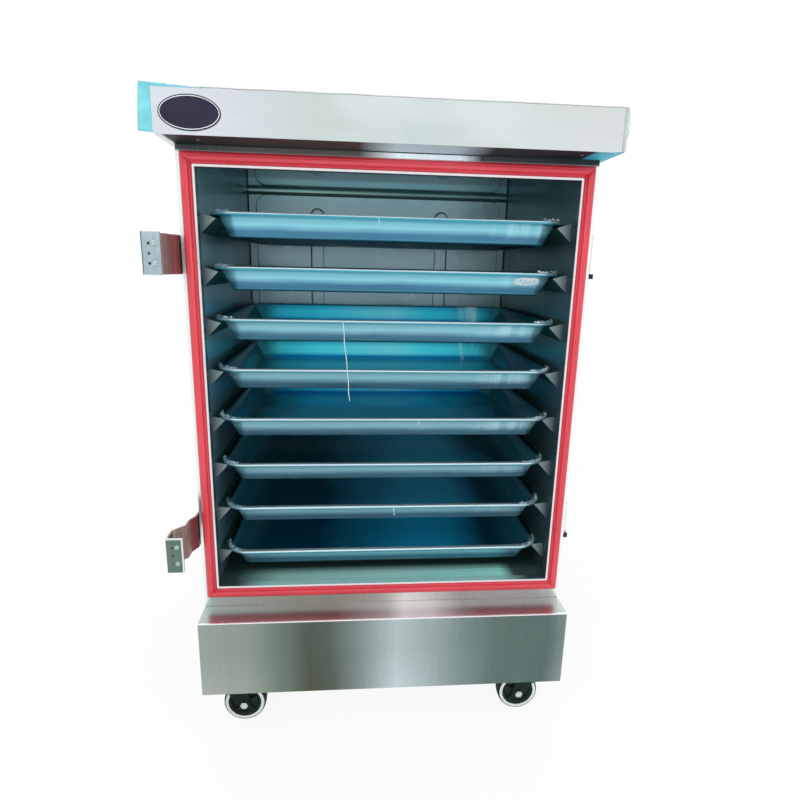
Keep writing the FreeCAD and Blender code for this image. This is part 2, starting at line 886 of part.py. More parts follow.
def hinge_arm(bottom):
    """Bent strap that swings on the pin and ends in the door plate."""
    z0 = bottom + hinge_knuckle_height + seat_gap
    z1 = bottom + hinge_height - hinge_knuckle_height - seat_gap
    strap = thick_path(strap_outline(), strap_sheet, bottom, bottom + hinge_height)
    pivot = Vector(hinge_pivot_x, hinge_pivot_y, z0)
    knuckle = rod(hinge_knuckle_radius, pivot, Z_AXIS, z1 - z0)
    strap_x = strap_outline()[0][0]
    tongue = box(
        strap_x - strap_sheet / 2, strap_x + strap_sheet / 2,
        hinge_pivot_y - strap_tongue_reach, hinge_pivot_y, z0, z1,
    )
    arm = strap.fuse([knuckle, tongue])
    cuts = [rod(hinge_pin_radius + running_gap, pivot, Z_AXIS, z1 - z0)]
    plate_x, plate_y = door_plate_place()
    for level in door_bolt_levels(bottom):
        at = Vector(plate_x + door_plate_width - door_bolt_inset, plate_y, level)
        cuts.append(rod(door_bolt_radius + fit_gap, at, Y_AXIS, strap_sheet))
    middle = bottom + hinge_height / 2
    for index in range(door_hole_count):
        level = middle + door_hole_spacing * (index - (door_hole_count - 1) / 2)
        at = Vector(plate_x + door_plate_width - door_hole_inset, plate_y, level)
        cuts.append(rod(door_hole_radius, at, Y_AXIS, strap_sheet))
    return one_solid(arm.cut(cuts))


def door_bolt(bottom, index):
    """Dome-headed bolt in the door plate."""
    plate_x, plate_y = door_plate_place()
    at = Vector(plate_x + door_plate_width - door_bolt_inset, plate_y, door_bolt_levels(bottom)[index])
    dome = (door_bolt_head_radius ** 2 + door_bolt_head_height ** 2) / (2 * door_bolt_head_height)
    centre = at + Y_AXIS * (dome - door_bolt_head_height)
    half_angle = math.asin(door_bolt_head_radius / dome) / 2
    rim = at + X_AXIS * door_bolt_head_radius
    middle = centre + X_AXIS * (dome * math.sin(half_angle)) - Y_AXIS * (dome * math.cos(half_angle))
    crest = at - Y_AXIS * door_bolt_head_height
    end = at + Y_AXIS * (strap_sheet + door_bolt_tail)
    corners = [crest, end, end + X_AXIS * door_bolt_radius, at + X_AXIS * door_bolt_radius, rim]
    outline = [Part.Arc(rim, middle, crest).toShape()]
    outline += [Part.makeLine(start, stop) for start, stop in zip(corners, corners[1:])]
    return Part.Face(Part.Wire(outline)).revolve(at, Y_AXIS, 360)


def hinge_bracket(bottom):
    """Leaf fixed to the side sheet, with a knuckle at each end of the pin."""
    leaf_y = hinge_pivot_y + hinge_knuckle_radius + seat_gap
    leaf = box(
        -half_body - hinge_leaf_sheet, -half_body, leaf_y, leaf_y + hinge_leaf_length,
        bottom, bottom + hinge_height,
    )
    parts = [leaf]
    bores = []
    for z0 in (bottom, bottom + hinge_height - hinge_knuckle_height):
        pivot = Vector(hinge_pivot_x, hinge_pivot_y, z0)
        parts.append(rod(hinge_knuckle_radius, pivot, Z_AXIS, hinge_knuckle_height))
        parts.append(
            box(
                hinge_pivot_x, -half_body, hinge_pivot_y, leaf_y,
                z0, z0 + hinge_knuckle_height,
            )
        )
        bores.append(rod(hinge_pin_radius + running_gap, pivot, Z_AXIS, hinge_knuckle_height))
    return one_solid(parts[0].fuse(parts[1:]).cut(bores))


def hinge_pin(bottom):
    return rod(hinge_pin_radius, Vector(hinge_pivot_x, hinge_pivot_y, bottom), Z_AXIS, hinge_height)


def latch_keeper(bottom):
    """Strike plate on the right side sheet with the lug that the door latch hooks on."""
    y0 = front + keeper_setback
    plate = box(half_body, half_body + keeper_sheet, y0, y0 + keeper_depth, bottom, bottom + keeper_height)
    lug = box(
        half_body, half_body + keeper_sheet + keeper_lug_reach, y0, y0 + keeper_depth,
        bottom, bottom + keeper_lug_height,
    )
    return fused([plate, lug])


# Casters, built round the swivel axis with the axle along Y, then put in place
def placed(shape, x, y, turn=0.0):
    shape = shape.copy()
    shape.rotate(Vector(0, 0, 0), Z_AXIS, turn)
    shape.translate(Vector(x, y, 0))
    return shape


crown_top = caster_height - caster_plate_sheet - race_height - seat_gap
crown_bottom = crown_top - crown_height
fork_inner = wheel_width / 2 + fork_side_gap
fork_outer = fork_inner + fork_sheet


def caster_plate():
    """Top plate with the swivel race and the king pin that holds the fork."""
    half_x = caster_plate_length / 2
    half_y = caster_plate_width / 2
    race_bottom = caster_height - caster_plate_sheet - race_height
    pin_bottom = crown_bottom - seat_gap - king_pin_head_height
    return fused(
        [
            box(-half_x, half_x, -half_y, half_y, caster_height - caster_plate_sheet, caster_height),
            rod(race_radius, Vector(0, 0, race_bottom), Z_AXIS, race_height),
            rod(king_pin_radius, Vector(0, 0, pin_bottom), Z_AXIS, race_bottom - pin_bottom),
            rod(king_pin_head_radius, Vector(0, 0, pin_bottom), Z_AXIS, king_pin_head_height),
        ]
    )


def fork_legs(trail, top):
    """Two side plates that narrow from the crown to the axle eye."""
    legs = []
    for y0 in (-fork_outer, fork_inner):
        outline = [
            Vector(-crown_radius, y0, top), Vector(crown_radius, y0, top),
            Vector(crown_radius, y0, top - crown_height),
            Vector(trail + fork_eye_radius, y0, wheel_radius),
            Vector(trail - fork_eye_radius, y0, wheel_radius),
            Vector(-crown_radius, y0, top - crown_height),
        ]
        eye = rod(fork_eye_radius, Vector(trail, y0, wheel_radius), Y_AXIS, fork_sheet)
        legs.append(prism(outline, Y_AXIS * fork_sheet).fuse(eye))
    return legs


def axle_hole(trail):
    start = Vector(trail, -fork_outer, wheel_radius)
    return rod(axle_radius + running_gap, start, Y_AXIS, 2 * fork_outer)


def swivel_fork(trail):
    crown = rod(crown_radius, Vector(0, 0, crown_bottom), Z_AXIS, crown_height)
    fork = crown.fuse(fork_legs(trail, crown_top))
    bore = rod(king_pin_radius + running_gap, Vector(0, 0, crown_bottom), Z_AXIS, crown_height)
    return one_solid(fork.cut([bore, axle_hole(trail)]))


def rigid_fork():
    """Fixed rear caster: the same plate with the fork legs welded straight to it."""
    half_x = caster_plate_length / 2
    half_y = caster_plate_width / 2
    top = caster_height - caster_plate_sheet
    plate = box(-half_x, half_x, -half_y, half_y, top, caster_height)
    return one_solid(plate.fuse(fork_legs(0.0, top)).cut(axle_hole(0.0)))


def axle(trail):
    """Through bolt with a hexagon head in front and a nut behind."""
    centre = Vector(trail, 0, wheel_radius)
    return fused(
        [
            rod(axle_radius, centre - Y_AXIS * fork_outer, Y_AXIS, 2 * fork_outer),
            hex_bar(axle_head_radius, centre - Y_AXIS * (fork_outer + axle_head_length), Y_AXIS, axle_head_length),
            hex_bar(axle_head_radius, centre + Y_AXIS * fork_outer, Y_AXIS, axle_head_length),
        ]
    )


def turned(profile, trail):
    """Solid of revolution about the axle; profile points are (radius, offset along the axle)."""
    points = [Vector(trail + radius, offset, wheel_radius) for radius, offset in profile]
    face = Part.Face(Part.makePolygon(points + [points[0]]))
    return face.revolve(Vector(trail, 0, wheel_radius), Y_AXIS, 360)


def wheel_hub(trail):
    bore = axle_radius + running_gap
    rim = tyre_inner_radius - running_gap
    boss = fork_inner - boss_end_gap
    half = hub_width / 2
    web = hub_web_width / 2
    profile = [
        (bore, -boss), (hub_boss_radius, -boss), (hub_boss_radius, -web), (hub_rim_inner_radius, -web),
        (hub_rim_inner_radius, -half), (rim, -half), (rim, half), (hub_rim_inner_radius, half),
        (hub_rim_inner_radius, web), (hub_boss_radius, web), (hub_boss_radius, boss), (bore, boss),
    ]
    return turned(profile, trail)


def tyre(trail):
    half = wheel_width / 2
    shoulder = half - tyre_shoulder_width
    crown = half - tyre_crown_width
    profile = [
        (tyre_inner_radius, -half), (tyre_side_radius, -half), (tyre_shoulder_radius, -shoulder),
        (wheel_radius, -crown), (wheel_radius, crown), (tyre_shoulder_radius, shoulder),
        (tyre_side_radius, half), (tyre_inner_radius, half),
    ]
    return turned(profile, trail)


save("base_front_panel", plinth_front_panel())
save("base_side_panels", plinth_side_panel(-1), plinth_side_panel(1))
save("base_rear_panel", plinth_rear_panel())
save("base_floor_pan", plinth_floor())
save("side_panel_left", side_panel(-1))
save("side_panel_right", side_panel(1))
save("rear_panel", rear_panel())
save("front_frame", front_frame())
save("opening_trim", opening_trim())
save("door_seal", door_seal())
save("canopy_shell", canopy_shell())
save("canopy_underside", canopy_underside())
save("badge_plate", badge_plate())
save("liner_left", chamber_wall(-1))
save("liner_right", chamber_wall(1))
save("liner_back", chamber_back_wall())
save("liner_ceiling", chamber_ceiling_sheet())
save("liner_floor", chamber_floor_sheet())
save("steam_plate", steam_plate())
save("back_duct", back_duct())
save("steam_columns", steam_column(-column_spacing / 2), steam_column(column_spacing / 2))
save("insulation", *insulation())
rails = [tray_rail(sign, index) for sign in (-1, 1) for index in range(1, tray_count + 1)]
save("tray_rails", *rails)
for index in range(1, tray_count + 1):
    save(f"tray_{index}", tray(index))

save("water_tank", water_tank())
save("heating_elements", heater(-heater_x), heater(heater_x))
save("feed_box", feed_box())
save("drain_valve", drain_valve())
save("drain_lever", drain_lever())
save("cable_gland", cable_gland())
save("steam_vent", steam_vent())

hinge_levels = {"lower": lower_hinge_level, "upper": lower_hinge_level + hinge_spacing}
save("hinge_brackets", *[hinge_bracket(level) for level in hinge_levels.values()])
save("hinge_pins", *[hinge_pin(level) for level in hinge_levels.values()])
for name, level in hinge_levels.items():
    save(f"hinge_arm_{name}", hinge_arm(level))
    save(f"hinge_bolts_{name}", door_bolt(level, 0), door_bolt(level, 1))
keeper_levels = [opening_bottom + lower_keeper_above_opening, opening_bottom + upper_keeper_above_opening]
save("latch_keepers", *[latch_keeper(level) for level in keeper_levels])

front_casters = {"left": (-caster_x, caster_trail), "right": (caster_x, -caster_trail)}
save("caster_plates", *[placed(caster_plate(), x, front_caster_y) for x, trail in front_casters.values()])
for name, (x, trail) in front_casters.items():
    save(f"caster_fork_{name}", placed(swivel_fork(trail), x, front_caster_y))
    save(f"front_axle_{name}", placed(axle(trail), x, front_caster_y))
    save(f"wheel_hub_front_{name}", placed(wheel_hub(trail), x, front_caster_y))
    save(f"tyre_front_{name}", placed(tyre(trail), x, front_caster_y))
rear_casters = {"left": -caster_x, "right": caster_x}
save("rear_caster_forks", *[placed(rigid_fork(), x, rear_caster_y, 90) for x in rear_casters.values()])
save("rear_axles", *[placed(axle(0.0), x, rear_caster_y, 90) for x in rear_casters.values()])
for name, x in rear_casters.items():
    save(f"wheel_hub_rear_{name}", placed(wheel_hub(0.0), x, rear_caster_y, 90))
    save(f"tyre_rear_{name}", placed(tyre(0.0), x, rear_caster_y, 90))
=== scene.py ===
import math
import random

import bmesh
import bpy
from mathutils import Matrix, Vector, noise


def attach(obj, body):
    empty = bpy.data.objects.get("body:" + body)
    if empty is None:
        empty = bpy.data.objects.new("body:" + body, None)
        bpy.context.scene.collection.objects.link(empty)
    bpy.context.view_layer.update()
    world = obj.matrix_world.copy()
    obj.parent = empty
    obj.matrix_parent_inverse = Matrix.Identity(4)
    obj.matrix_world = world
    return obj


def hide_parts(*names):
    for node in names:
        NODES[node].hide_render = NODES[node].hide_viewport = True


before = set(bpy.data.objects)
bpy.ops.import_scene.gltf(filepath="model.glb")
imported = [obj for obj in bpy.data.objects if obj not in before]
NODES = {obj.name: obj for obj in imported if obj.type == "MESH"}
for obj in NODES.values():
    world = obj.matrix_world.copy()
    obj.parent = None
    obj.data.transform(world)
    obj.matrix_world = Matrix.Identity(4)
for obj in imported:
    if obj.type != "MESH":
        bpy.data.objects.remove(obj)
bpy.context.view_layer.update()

# Places of the CAD solids that the looks follow, in metres; the front is at -Y
BODY_HALF = 0.332
FRONT, REAR = -0.265, 0.265
PLINTH_LEDGE = 0.2515
CANOPY_HALF, CANOPY_FRONT = 0.342, -0.327
CANOPY_BOTTOM, CANOPY_TOP = 1.040, 1.102
CHAMBER_HALF = 0.3105
BACK_WALL, DUCT_FRONT = 0.212, 0.204
CHAMBER_CEILING = 1.034
TRAY_HALF_X, TRAY_HALF_Y, TRAY_CORNER, TRAY_HEIGHT = 0.3, 0.2, 0.045, 0.040
TRAY_LIP, TRAY_DRAFT, TRAY_FOOT, TRAY_SHEET = 0.010, 0.021, 0.007, 0.001
TRAY_LEAN = TRAY_DRAFT / TRAY_HEIGHT
TRAY_SETBACK = 0.0235
TRAY_FORWARD = (0, 0, 0, 0, 0.008, 0.003, -0.004, 0)
TRAYS = range(8)
RIM = [0.9465 - 0.0856 * i for i in TRAYS]
TRAY_MIDDLE = [FRONT + TRAY_SETBACK + TRAY_HALF_Y - forward for forward in TRAY_FORWARD]
WHEEL_RADIUS, WHEEL_HALF = 0.040, 0.013


def grey(value):
    return (value, value, value)


# Node materials
class Mat:
    """One Principled material with helpers for procedural inputs in object space."""

    def __init__(self, name, color, metallic=0.0, rough=0.5, **extra):
        self.m = bpy.data.materials.new(name)
        self.m.use_nodes = True
        self.t = self.m.node_tree
        self.bsdf = self.t.nodes["Principled BSDF"]
        self.set("Base Color", (*color, 1))
        self.set("Metallic", metallic)
        self.set("Roughness", rough)
        for key, value in extra.items():
            self.set(key.replace("_", " "), value)
        self.coord = self.t.nodes.new("ShaderNodeTexCoord").outputs["Object"]
        self.relief = None

    def set(self, socket, value):
        self.bsdf.inputs[socket].default_value = value

    def link(self, output, socket):
        self.t.links.new(output, socket)

    def feed(self, socket, output):
        self.link(output, self.bsdf.inputs[socket])

    def source(self, socket):
        return self.bsdf.inputs[socket].links[0].from_socket

    def put(self, socket, value):
        """Give a socket a number, a colour or another node's output."""
        if isinstance(value, tuple):
            socket.default_value = (*value, 1)
        elif isinstance(value, (int, float)):
            socket.default_value = value
        else:
            self.link(value, socket)

    def noise(self, scale, detail=3.0, rough=0.5, distortion=0.0, stretch=(1, 1, 1)):
        place = self.t.nodes.new("ShaderNodeMapping")
        place.inputs["Scale"].default_value = stretch
        self.link(self.coord, place.inputs["Vector"])
        node = self.t.nodes.new("ShaderNodeTexNoise")
        settings = {"Scale": scale, "Detail": detail, "Roughness": rough, "Distortion": distortion}
        for socket, value in settings.items():
            node.inputs[socket].default_value = value
        self.link(place.outputs["Vector"], node.inputs["Vector"])
        return node.outputs["Fac"]

    def brush(self, stretch):
        return self.noise(1.0, 4.0, 0.6, stretch=stretch)

    def cloud(self, stretch):
        return self.noise(1.0, 2.0, 0.5, stretch=stretch)

    def ramp(self, fac, stops):
        node = self.t.nodes.new("ShaderNodeValToRGB")
        elements = node.color_ramp.elements
        while len(elements) < len(stops):
            elements.new(0.5)
        for element, (position, color) in zip(elements, stops):
            element.position = position
            element.color = (*color, 1)
        self.link(fac, node.inputs["Fac"])
        return node.outputs["Color"]

    def tones(self, fac, dark, light):
        return self.ramp(fac, [(0.3, dark), (0.7, light)])

    def mix(self, fac, a, b, mode="MIX"):
        node = self.t.nodes.new("ShaderNodeMix")
        node.data_type = "RGBA"
        node.blend_type = mode
        for index, value in ((0, fac), (6, a), (7, b)):
            self.put(node.inputs[index], value)
        return node.outputs[2]

    def math(self, operation, a, b=0.0):
        node = self.t.nodes.new("ShaderNodeMath")
        node.operation = operation
        self.put(node.inputs[0], a)
        self.put(node.inputs[1], b)
        return node.outputs[0]

    def times(self, a, b):
        return self.math("MULTIPLY", a, b)

    def remap(self, value, a, b, c, d):
        node = self.t.nodes.new("ShaderNodeMapRange")
        for index, number in enumerate((a, b, c, d)):
            node.inputs[index + 1].default_value = number
        self.link(value, node.inputs[0])
        return node.outputs[0]

    def step(self, value, start, end):
        return self.remap(value, start, end, 0.0, 1.0)

    def between(self, amount, value, *edges):
        """The amount, faded out outside each (start, end) edge of the value."""
        for start, end in edges:
            amount = self.times(amount, self.step(value, start, end))
        return amount

    def sway(self, value, cloud, amount):
        """The value, moved up and down by a noise."""
        return self.math("ADD", value, self.times(self.math("SUBTRACT", cloud, 0.5), amount))

    def axis(self, name):
        node = self.t.nodes.new("ShaderNodeSeparateXYZ")
        self.link(self.coord, node.inputs[0])
        return node.outputs[name]

    def from_middle(self):
        return self.math("ABSOLUTE", self.axis("X"))

    def across(self, half):
        return self.step(self.axis("X"), -half, half)

    def length(self):
        node = self.t.nodes.new("ShaderNodeVectorMath")
        node.operation = "LENGTH"
        self.link(self.coord, node.inputs[0])
        return node.outputs["Value"]

    def color(self, output):
        self.feed("Base Color", output)

    def rough(self, value, low, high):
        self.feed("Roughness", self.remap(value, 0.3, 0.7, low, high))

    def satin(self, fine, rough):
        self.rough(self.mix(0.5, self.noise(9.0, 3.0, 0.6), fine), rough - 0.06, rough + 0.08)

    def grained(self, amount, tone, fine, low=0.1):
        return self.mix(amount, tone, self.tones(fine, grey(low), grey(1 - low)), "SOFT_LIGHT")

    def bump(self, height, distance, strength=1.0):
        node = self.t.nodes.new("ShaderNodeBump")
        node.inputs["Strength"].default_value = strength
        node.inputs["Distance"].default_value = distance
        self.link(height, node.inputs["Height"])
        if self.relief:
            self.link(self.relief, node.inputs["Normal"])
        self.relief = node.outputs["Normal"]
        self.feed("Normal", self.relief)


def steel(name, dark, light, rough=0.3, grain=(300, 300, 4), bands=(3, 3, 1.5), dents=0.0):
    """Brushed stainless: fine grain along one axis, soft tone bands and faint handling marks."""
    mat = Mat(name, light, metallic=1.0, rough=rough)
    fine = mat.brush(grain)
    mat.color(mat.tones(mat.mix(0.35, mat.cloud(bands), fine), dark, light))
    mat.satin(fine, rough)
    mat.bump(fine, 0.00004, 0.5)
    if dents:
        mat.bump(mat.noise(2.2, 1.5, 0.4), dents)
    return mat.m


def seal_rubber():
    mat = Mat("seal_rubber", (0.70, 0.04, 0.055), rough=0.34, Coat_Weight=0.3, Coat_Roughness=0.2)
    wear = mat.noise(9.0, 1.0, 0.4)
    reds = [(0.25, (0.55, 0.028, 0.045)), (0.55, (0.59, 0.035, 0.054)), (0.8, (0.63, 0.048, 0.070))]
    mat.color(mat.ramp(wear, reds))
    mat.rough(wear, 0.28, 0.36)
    return mat.m


def plastic(name, dark, light, rough, bump=0.0002, scale=300.0, shine=0.3):
    mat = Mat(name, light, rough=rough, Specular_IOR_Level=shine)
    mat.color(mat.tones(mat.noise(12.0, 4.0, 0.6), dark, light))
    grain = mat.noise(scale, 3.0)
    mat.rough(grain, rough - 0.07, rough + 0.08)
    mat.bump(grain, bump, 0.4)
    return mat.m


def film(name, dark, light, alpha, gaps=0.0):
    """Torn protective film: thin, glossy, wrinkled and a little see-through."""
    mat = Mat(name, light, rough=0.22, Coat_Weight=0.4)
    mat.color(mat.tones(mat.noise(40.0, 4.0, 0.6), dark, light))
    cover = mat.remap(mat.noise(70.0, 3.0), 0.3, 0.7, alpha - 0.15, alpha + 0.15)
    if gaps:
        cover = mat.between(cover, mat.noise(150.0, 3.0, 0.6, 1.0), (gaps - 0.04, gaps + 0.06))
    mat.feed("Alpha", cover)
    mat.bump(mat.noise(120.0, 3.0, 0.5, 1.5), 0.001, 0.8)
    return mat.m


def banded_steel(name, stops, rough, drift, grain, fade=None):
    """Brushed sheet whose tone changes in soft bands across its width, painted as reflections."""
    mat = Mat(name, grey(0.5), metallic=1.0, rough=rough)
    fine = mat.brush((420, 420, 6))
    tone = mat.ramp(mat.sway(mat.across(BODY_HALF), mat.cloud((4, 4, 9)), drift), stops)
    if fade:
        start, end, amount, upper = fade
        tone = mat.mix(mat.times(mat.step(mat.axis("Z"), start, end), amount), tone, upper)
    mat.color(mat.grained(0.08, tone, fine, 0.0))
    mat.satin(fine, rough)
    mat.bump(fine, 0.00004, grain)
    return mat


def plinth_metal():
    """Plinth: a front painted with reflection bands, a ledge that mirrors the seal with a painted highlight
    in its middle, and a painted highlight on the fold between them.
    """
    # Bands of painted reflection across the front, dark and light in turn
    stops = [
        (0.0, (0.40, 0.45, 0.40)), (0.12, (0.34, 0.40, 0.35)), (0.21, (0.18, 0.24, 0.20)),
        (0.29, (0.085, 0.10, 0.07)), (0.35, (0.10, 0.13, 0.10)), (0.43, (0.26, 0.32, 0.32)),
        (0.53, (0.60, 0.69, 0.72)), (0.58, (0.50, 0.59, 0.61)), (0.70, (0.25, 0.33, 0.33)),
        (0.80, (0.13, 0.19, 0.18)), (0.95, (0.11, 0.17, 0.16)), (1.0, (0.26, 0.32, 0.32)),
    ]
    mat = banded_steel("plinth_steel", stops, 0.27, 0.04, 0.12, (0.106, 0.19, 0.25, (0.12, 0.17, 0.15)))
    across = mat.across(BODY_HALF)
    ledge = mat.step(mat.axis("Z"), 0.2506, 0.2512)
    fold = mat.between(mat.step(mat.axis("Z"), 0.2492, 0.2500), mat.axis("Y"), (-0.3150, -0.3165))
    # Ledge tones with a pale painted highlight in the middle
    ledge_tone_with_highlight = mat.ramp(across, [
        (0.0, (0.50, 0.62, 0.60)), (0.05, (0.46, 0.50, 0.48)), (0.35, (0.34, 0.34, 0.33)),
        (0.50, (0.50, 0.51, 0.50)), (0.55, (0.84, 0.86, 0.85)), (0.62, (0.74, 0.76, 0.75)),
        (0.72, (0.42, 0.42, 0.42)), (0.94, (0.40, 0.42, 0.41)), (1.0, (0.52, 0.60, 0.58)),
    ])
    # The fold between front and ledge is painted pale as a highlight
    mat.color(mat.mix(fold, mat.mix(ledge, mat.source("Base Color"), ledge_tone_with_highlight), (0.95, 0.97, 0.97)))
    # Less metal under the painted highlight, so that it stays pale
    polish = [(0.0, 0.9), (0.36, 0.9), (0.54, 0.15), (0.62, 0.2), (0.76, 0.9)]
    polish = mat.ramp(across, [(place, grey(value)) for place, value in polish])
    mat.feed("Metallic", mat.mix(ledge, grey(1.0), polish))
    mat.feed("Roughness", mat.mix(ledge, mat.source("Roughness"), grey(0.25)))
    return mat.m


def canopy_metal():
    """Canopy: pale satin with faint clouds, soft lighter spots painted as highlights, and film under its
    right end.
    """
    mat = Mat("canopy_steel", (0.6, 0.65, 0.65), metallic=0.9, rough=0.42)
    fine = mat.brush((6, 350, 350))
    cloud = mat.noise(1.0, 2.0, 0.45, stretch=(3.2, 3.2, 11))
    highlight_patches = mat.noise(1.0, 1.5, 0.4, 0.4, (8, 8, 14))
    base = mat.ramp(mat.across(CANOPY_HALF), [
        (0.0, (0.72, 0.75, 0.84)), (0.16, (0.68, 0.72, 0.78)), (0.32, (0.60, 0.68, 0.66)),
        (0.55, (0.60, 0.68, 0.68)), (0.78, (0.66, 0.72, 0.71)), (1.0, (0.68, 0.71, 0.71)),
    ])
    base = mat.mix(mat.remap(cloud, 0.45, 0.7, 0.0, 0.6), base, (0.72, 0.76, 0.78))
    # Soft lighter spots painted as highlights
    base = mat.mix(mat.remap(highlight_patches, 0.50, 0.72, 0.0, 0.45), base, (0.78, 0.86, 0.86))
    under = mat.between(mat.step(mat.axis("Z"), 1.0408, 1.0404), mat.axis("X"), (0.330, 0.332))
    base = mat.mix(under, base, (0.06, 0.42, 0.55))
    mat.color(mat.grained(0.06, base, fine))
    mat.rough(cloud, 0.36, 0.48)
    mat.bump(fine, 0.00002, 0.3)
    mat.bump(mat.cloud((14, 14, 30)), 0.0008, 0.5)
    return mat.m


def underside_metal():
    """Sheet below the canopy: painted dark as shade, with one painted highlight near the middle, pale at
    its left end, film at its right.
    """
    mat = Mat("canopy_underside_steel", grey(0.1), rough=0.5, Specular_IOR_Level=0.12)
    fine = mat.brush((420, 420, 6))
    streak = mat.noise(1.0, 3.0, 0.6, stretch=(9, 120, 4))
    across = mat.across(CANOPY_HALF)
    # Painted shade across the sheet, with a painted highlight near the middle
    tone = mat.ramp(across, [
        (0.0, (0.90, 0.97, 0.97)), (0.013, (0.90, 0.97, 0.97)), (0.017, (0.012, 0.024, 0.024)),
        (0.20, (0.055, 0.055, 0.048)), (0.42, (0.065, 0.060, 0.052)), (0.50, (0.62, 0.82, 0.88)),
        (0.64, (0.50, 0.68, 0.74)), (0.72, (0.03, 0.05, 0.055)), (0.936, (0.012, 0.022, 0.026)),
        (0.946, (0.04, 0.42, 0.58)), (1.0, (0.12, 0.58, 0.72)),
    ])
    mat.color(mat.mix(0.3, tone, streak, "SOFT_LIGHT"))
    mat.feed("Metallic", mat.ramp(across, [(0.0, grey(1.0)), (0.016, grey(0.0)), (1.0, grey(0.0))]))
    mat.rough(fine, 0.44, 0.56)
    mat.bump(fine, 0.00003, 0.3)
    return mat.m


def frame_metal():
    """Flat front sheet: painted shade under the canopy with one painted highlight there; cream and bright
    above the ledge with a painted highlight in the middle, a pinkish painted reflection of the seal towards
    the right, pale at the sides.
    """
    # Painted highlight in the middle and a pinkish painted reflection of the seal towards the right
    stops = [
        (0.0, (0.86, 0.95, 0.95)), (0.008, (0.86, 0.93, 0.92)), (0.02, (0.66, 0.70, 0.68)),
        (0.25, (0.62, 0.60, 0.53)), (0.45, (0.70, 0.67, 0.60)), (0.56, (0.95, 0.94, 0.90)),
        (0.70, (0.74, 0.71, 0.68)), (0.88, (0.78, 0.70, 0.72)), (0.98, (0.80, 0.76, 0.76)),
        (0.992, (0.98, 0.95, 0.95)), (1.0, (0.98, 0.96, 0.96)),
    ]
    mat = banded_steel("front_frame_steel", stops, 0.24, 0.0, 0.1)
    top = mat.step(mat.axis("Z"), 1.0290, 1.0320)
    # Strip under the canopy: painted shade, with a painted highlight near the middle
    dim = mat.ramp(mat.across(BODY_HALF), [
        (0.0, (0.05, 0.06, 0.06)), (0.20, (0.10, 0.09, 0.085)), (0.42, (0.10, 0.09, 0.085)),
        (0.51, (0.90, 0.98, 1.0)), (0.66, (0.80, 0.90, 0.96)), (0.71, (0.05, 0.055, 0.06)),
        (1.0, (0.012, 0.018, 0.020)),
    ])
    mat.color(mat.mix(top, mat.source("Base Color"), dim))
    mat.feed("Metallic", mat.mix(top, grey(1.0), grey(0.1)))
    return mat.m


# Looks of the trays from the top one down: the top ones are bluest, the middle ones are painted as catching
# most light
TRAY_BLUE = (1.0, 0.95, 0.70, 0.50, 0.40, 0.45, 0.42, 0.50)
# How much lighter each tray's outside is painted, for the light it catches
TRAY_LIGHT_GAIN = (1.0, 1.0, 1.0, 1.04, 1.0, 1.06, 1.35, 1.2)
# Strength of painted highlights on crinkled film at the right of each tray's front wall
TRAY_WALL_CRINKLE_HIGHLIGHTS = (0.30, 0.12, 0.32, 0.35, 0.35, 0.3, 0.25, 0.15)
# Rear wall and floor inside each tray: film colour, painted brighter where more light comes in through the
# door
TRAY_REAR_LIT_COLOR = (
    (0.02, 0.40, 0.52), (0.02, 0.40, 0.52), (0.05, 0.72, 0.96), (0.08, 0.86, 1.00),
    (0.03, 0.58, 0.84), (0.02, 0.24, 0.36), (0.02, 0.26, 0.42), (0.01, 0.32, 0.50),
)
TRAY_FLOOR_LIT_COLOR = (
    (0.02, 0.30, 0.40), (0.02, 0.30, 0.40), (0.02, 0.45, 0.62), (0.04, 0.52, 0.74),
    (0.02, 0.40, 0.62), (0.03, 0.24, 0.36), (0.03, 0.28, 0.46), (0.01, 0.32, 0.56),
)
TRAY_END_SHADE = (0.5, 0.5, 0.5, 0.5, 0.16, 0.16, 0.16, 0.16)
TRAY_GLEAM = (0.0, 0.0, 0.45, 0.45, 0.45, 0.0, 0.0, 0.0)
# Strength of painted highlights on crinkled film at the right of each tray's rear wall
TRAY_REAR_CRINKLE_HIGHLIGHTS = (0.0, 0.0, 0.5, 0.5, 0.0, 0.0, 0.0, 0.0)
TRAY_GLOW = (0.1, 0.1, 0.30, 0.40, 0.26, 0.13, 0.12, 0.13)
TRAY_FLOOR_GLOW = (0.3, 0.3, 0.25, 0.25, 0.45, 1.0, 1.0, 1.0)


def tray_steel(index, side, edge_tint):
    """Satin steel under film, with its grain, clouds, depth under the rim and place along the tray."""
    name = f"tray_{index + 1}_{side}"
    mat = Mat(name, (0.3, 0.6, 0.7), metallic=0.75, rough=0.24, Specular_Tint=(*edge_tint, 1))
    fine = mat.brush((6, 260, 260))
    cloud = mat.noise(1.0, 3.0, 0.6, 0.6, (7, 7, 26))
    mat.bump(fine, 0.00003, 0.3)
    mat.bump(cloud, 0.0005, 0.4)
    depth = mat.math("SUBTRACT", RIM[index], mat.axis("Z"))
    run = mat.math("SUBTRACT", mat.axis("Y"), TRAY_MIDDLE[index])
    return mat, fine, cloud, depth, run


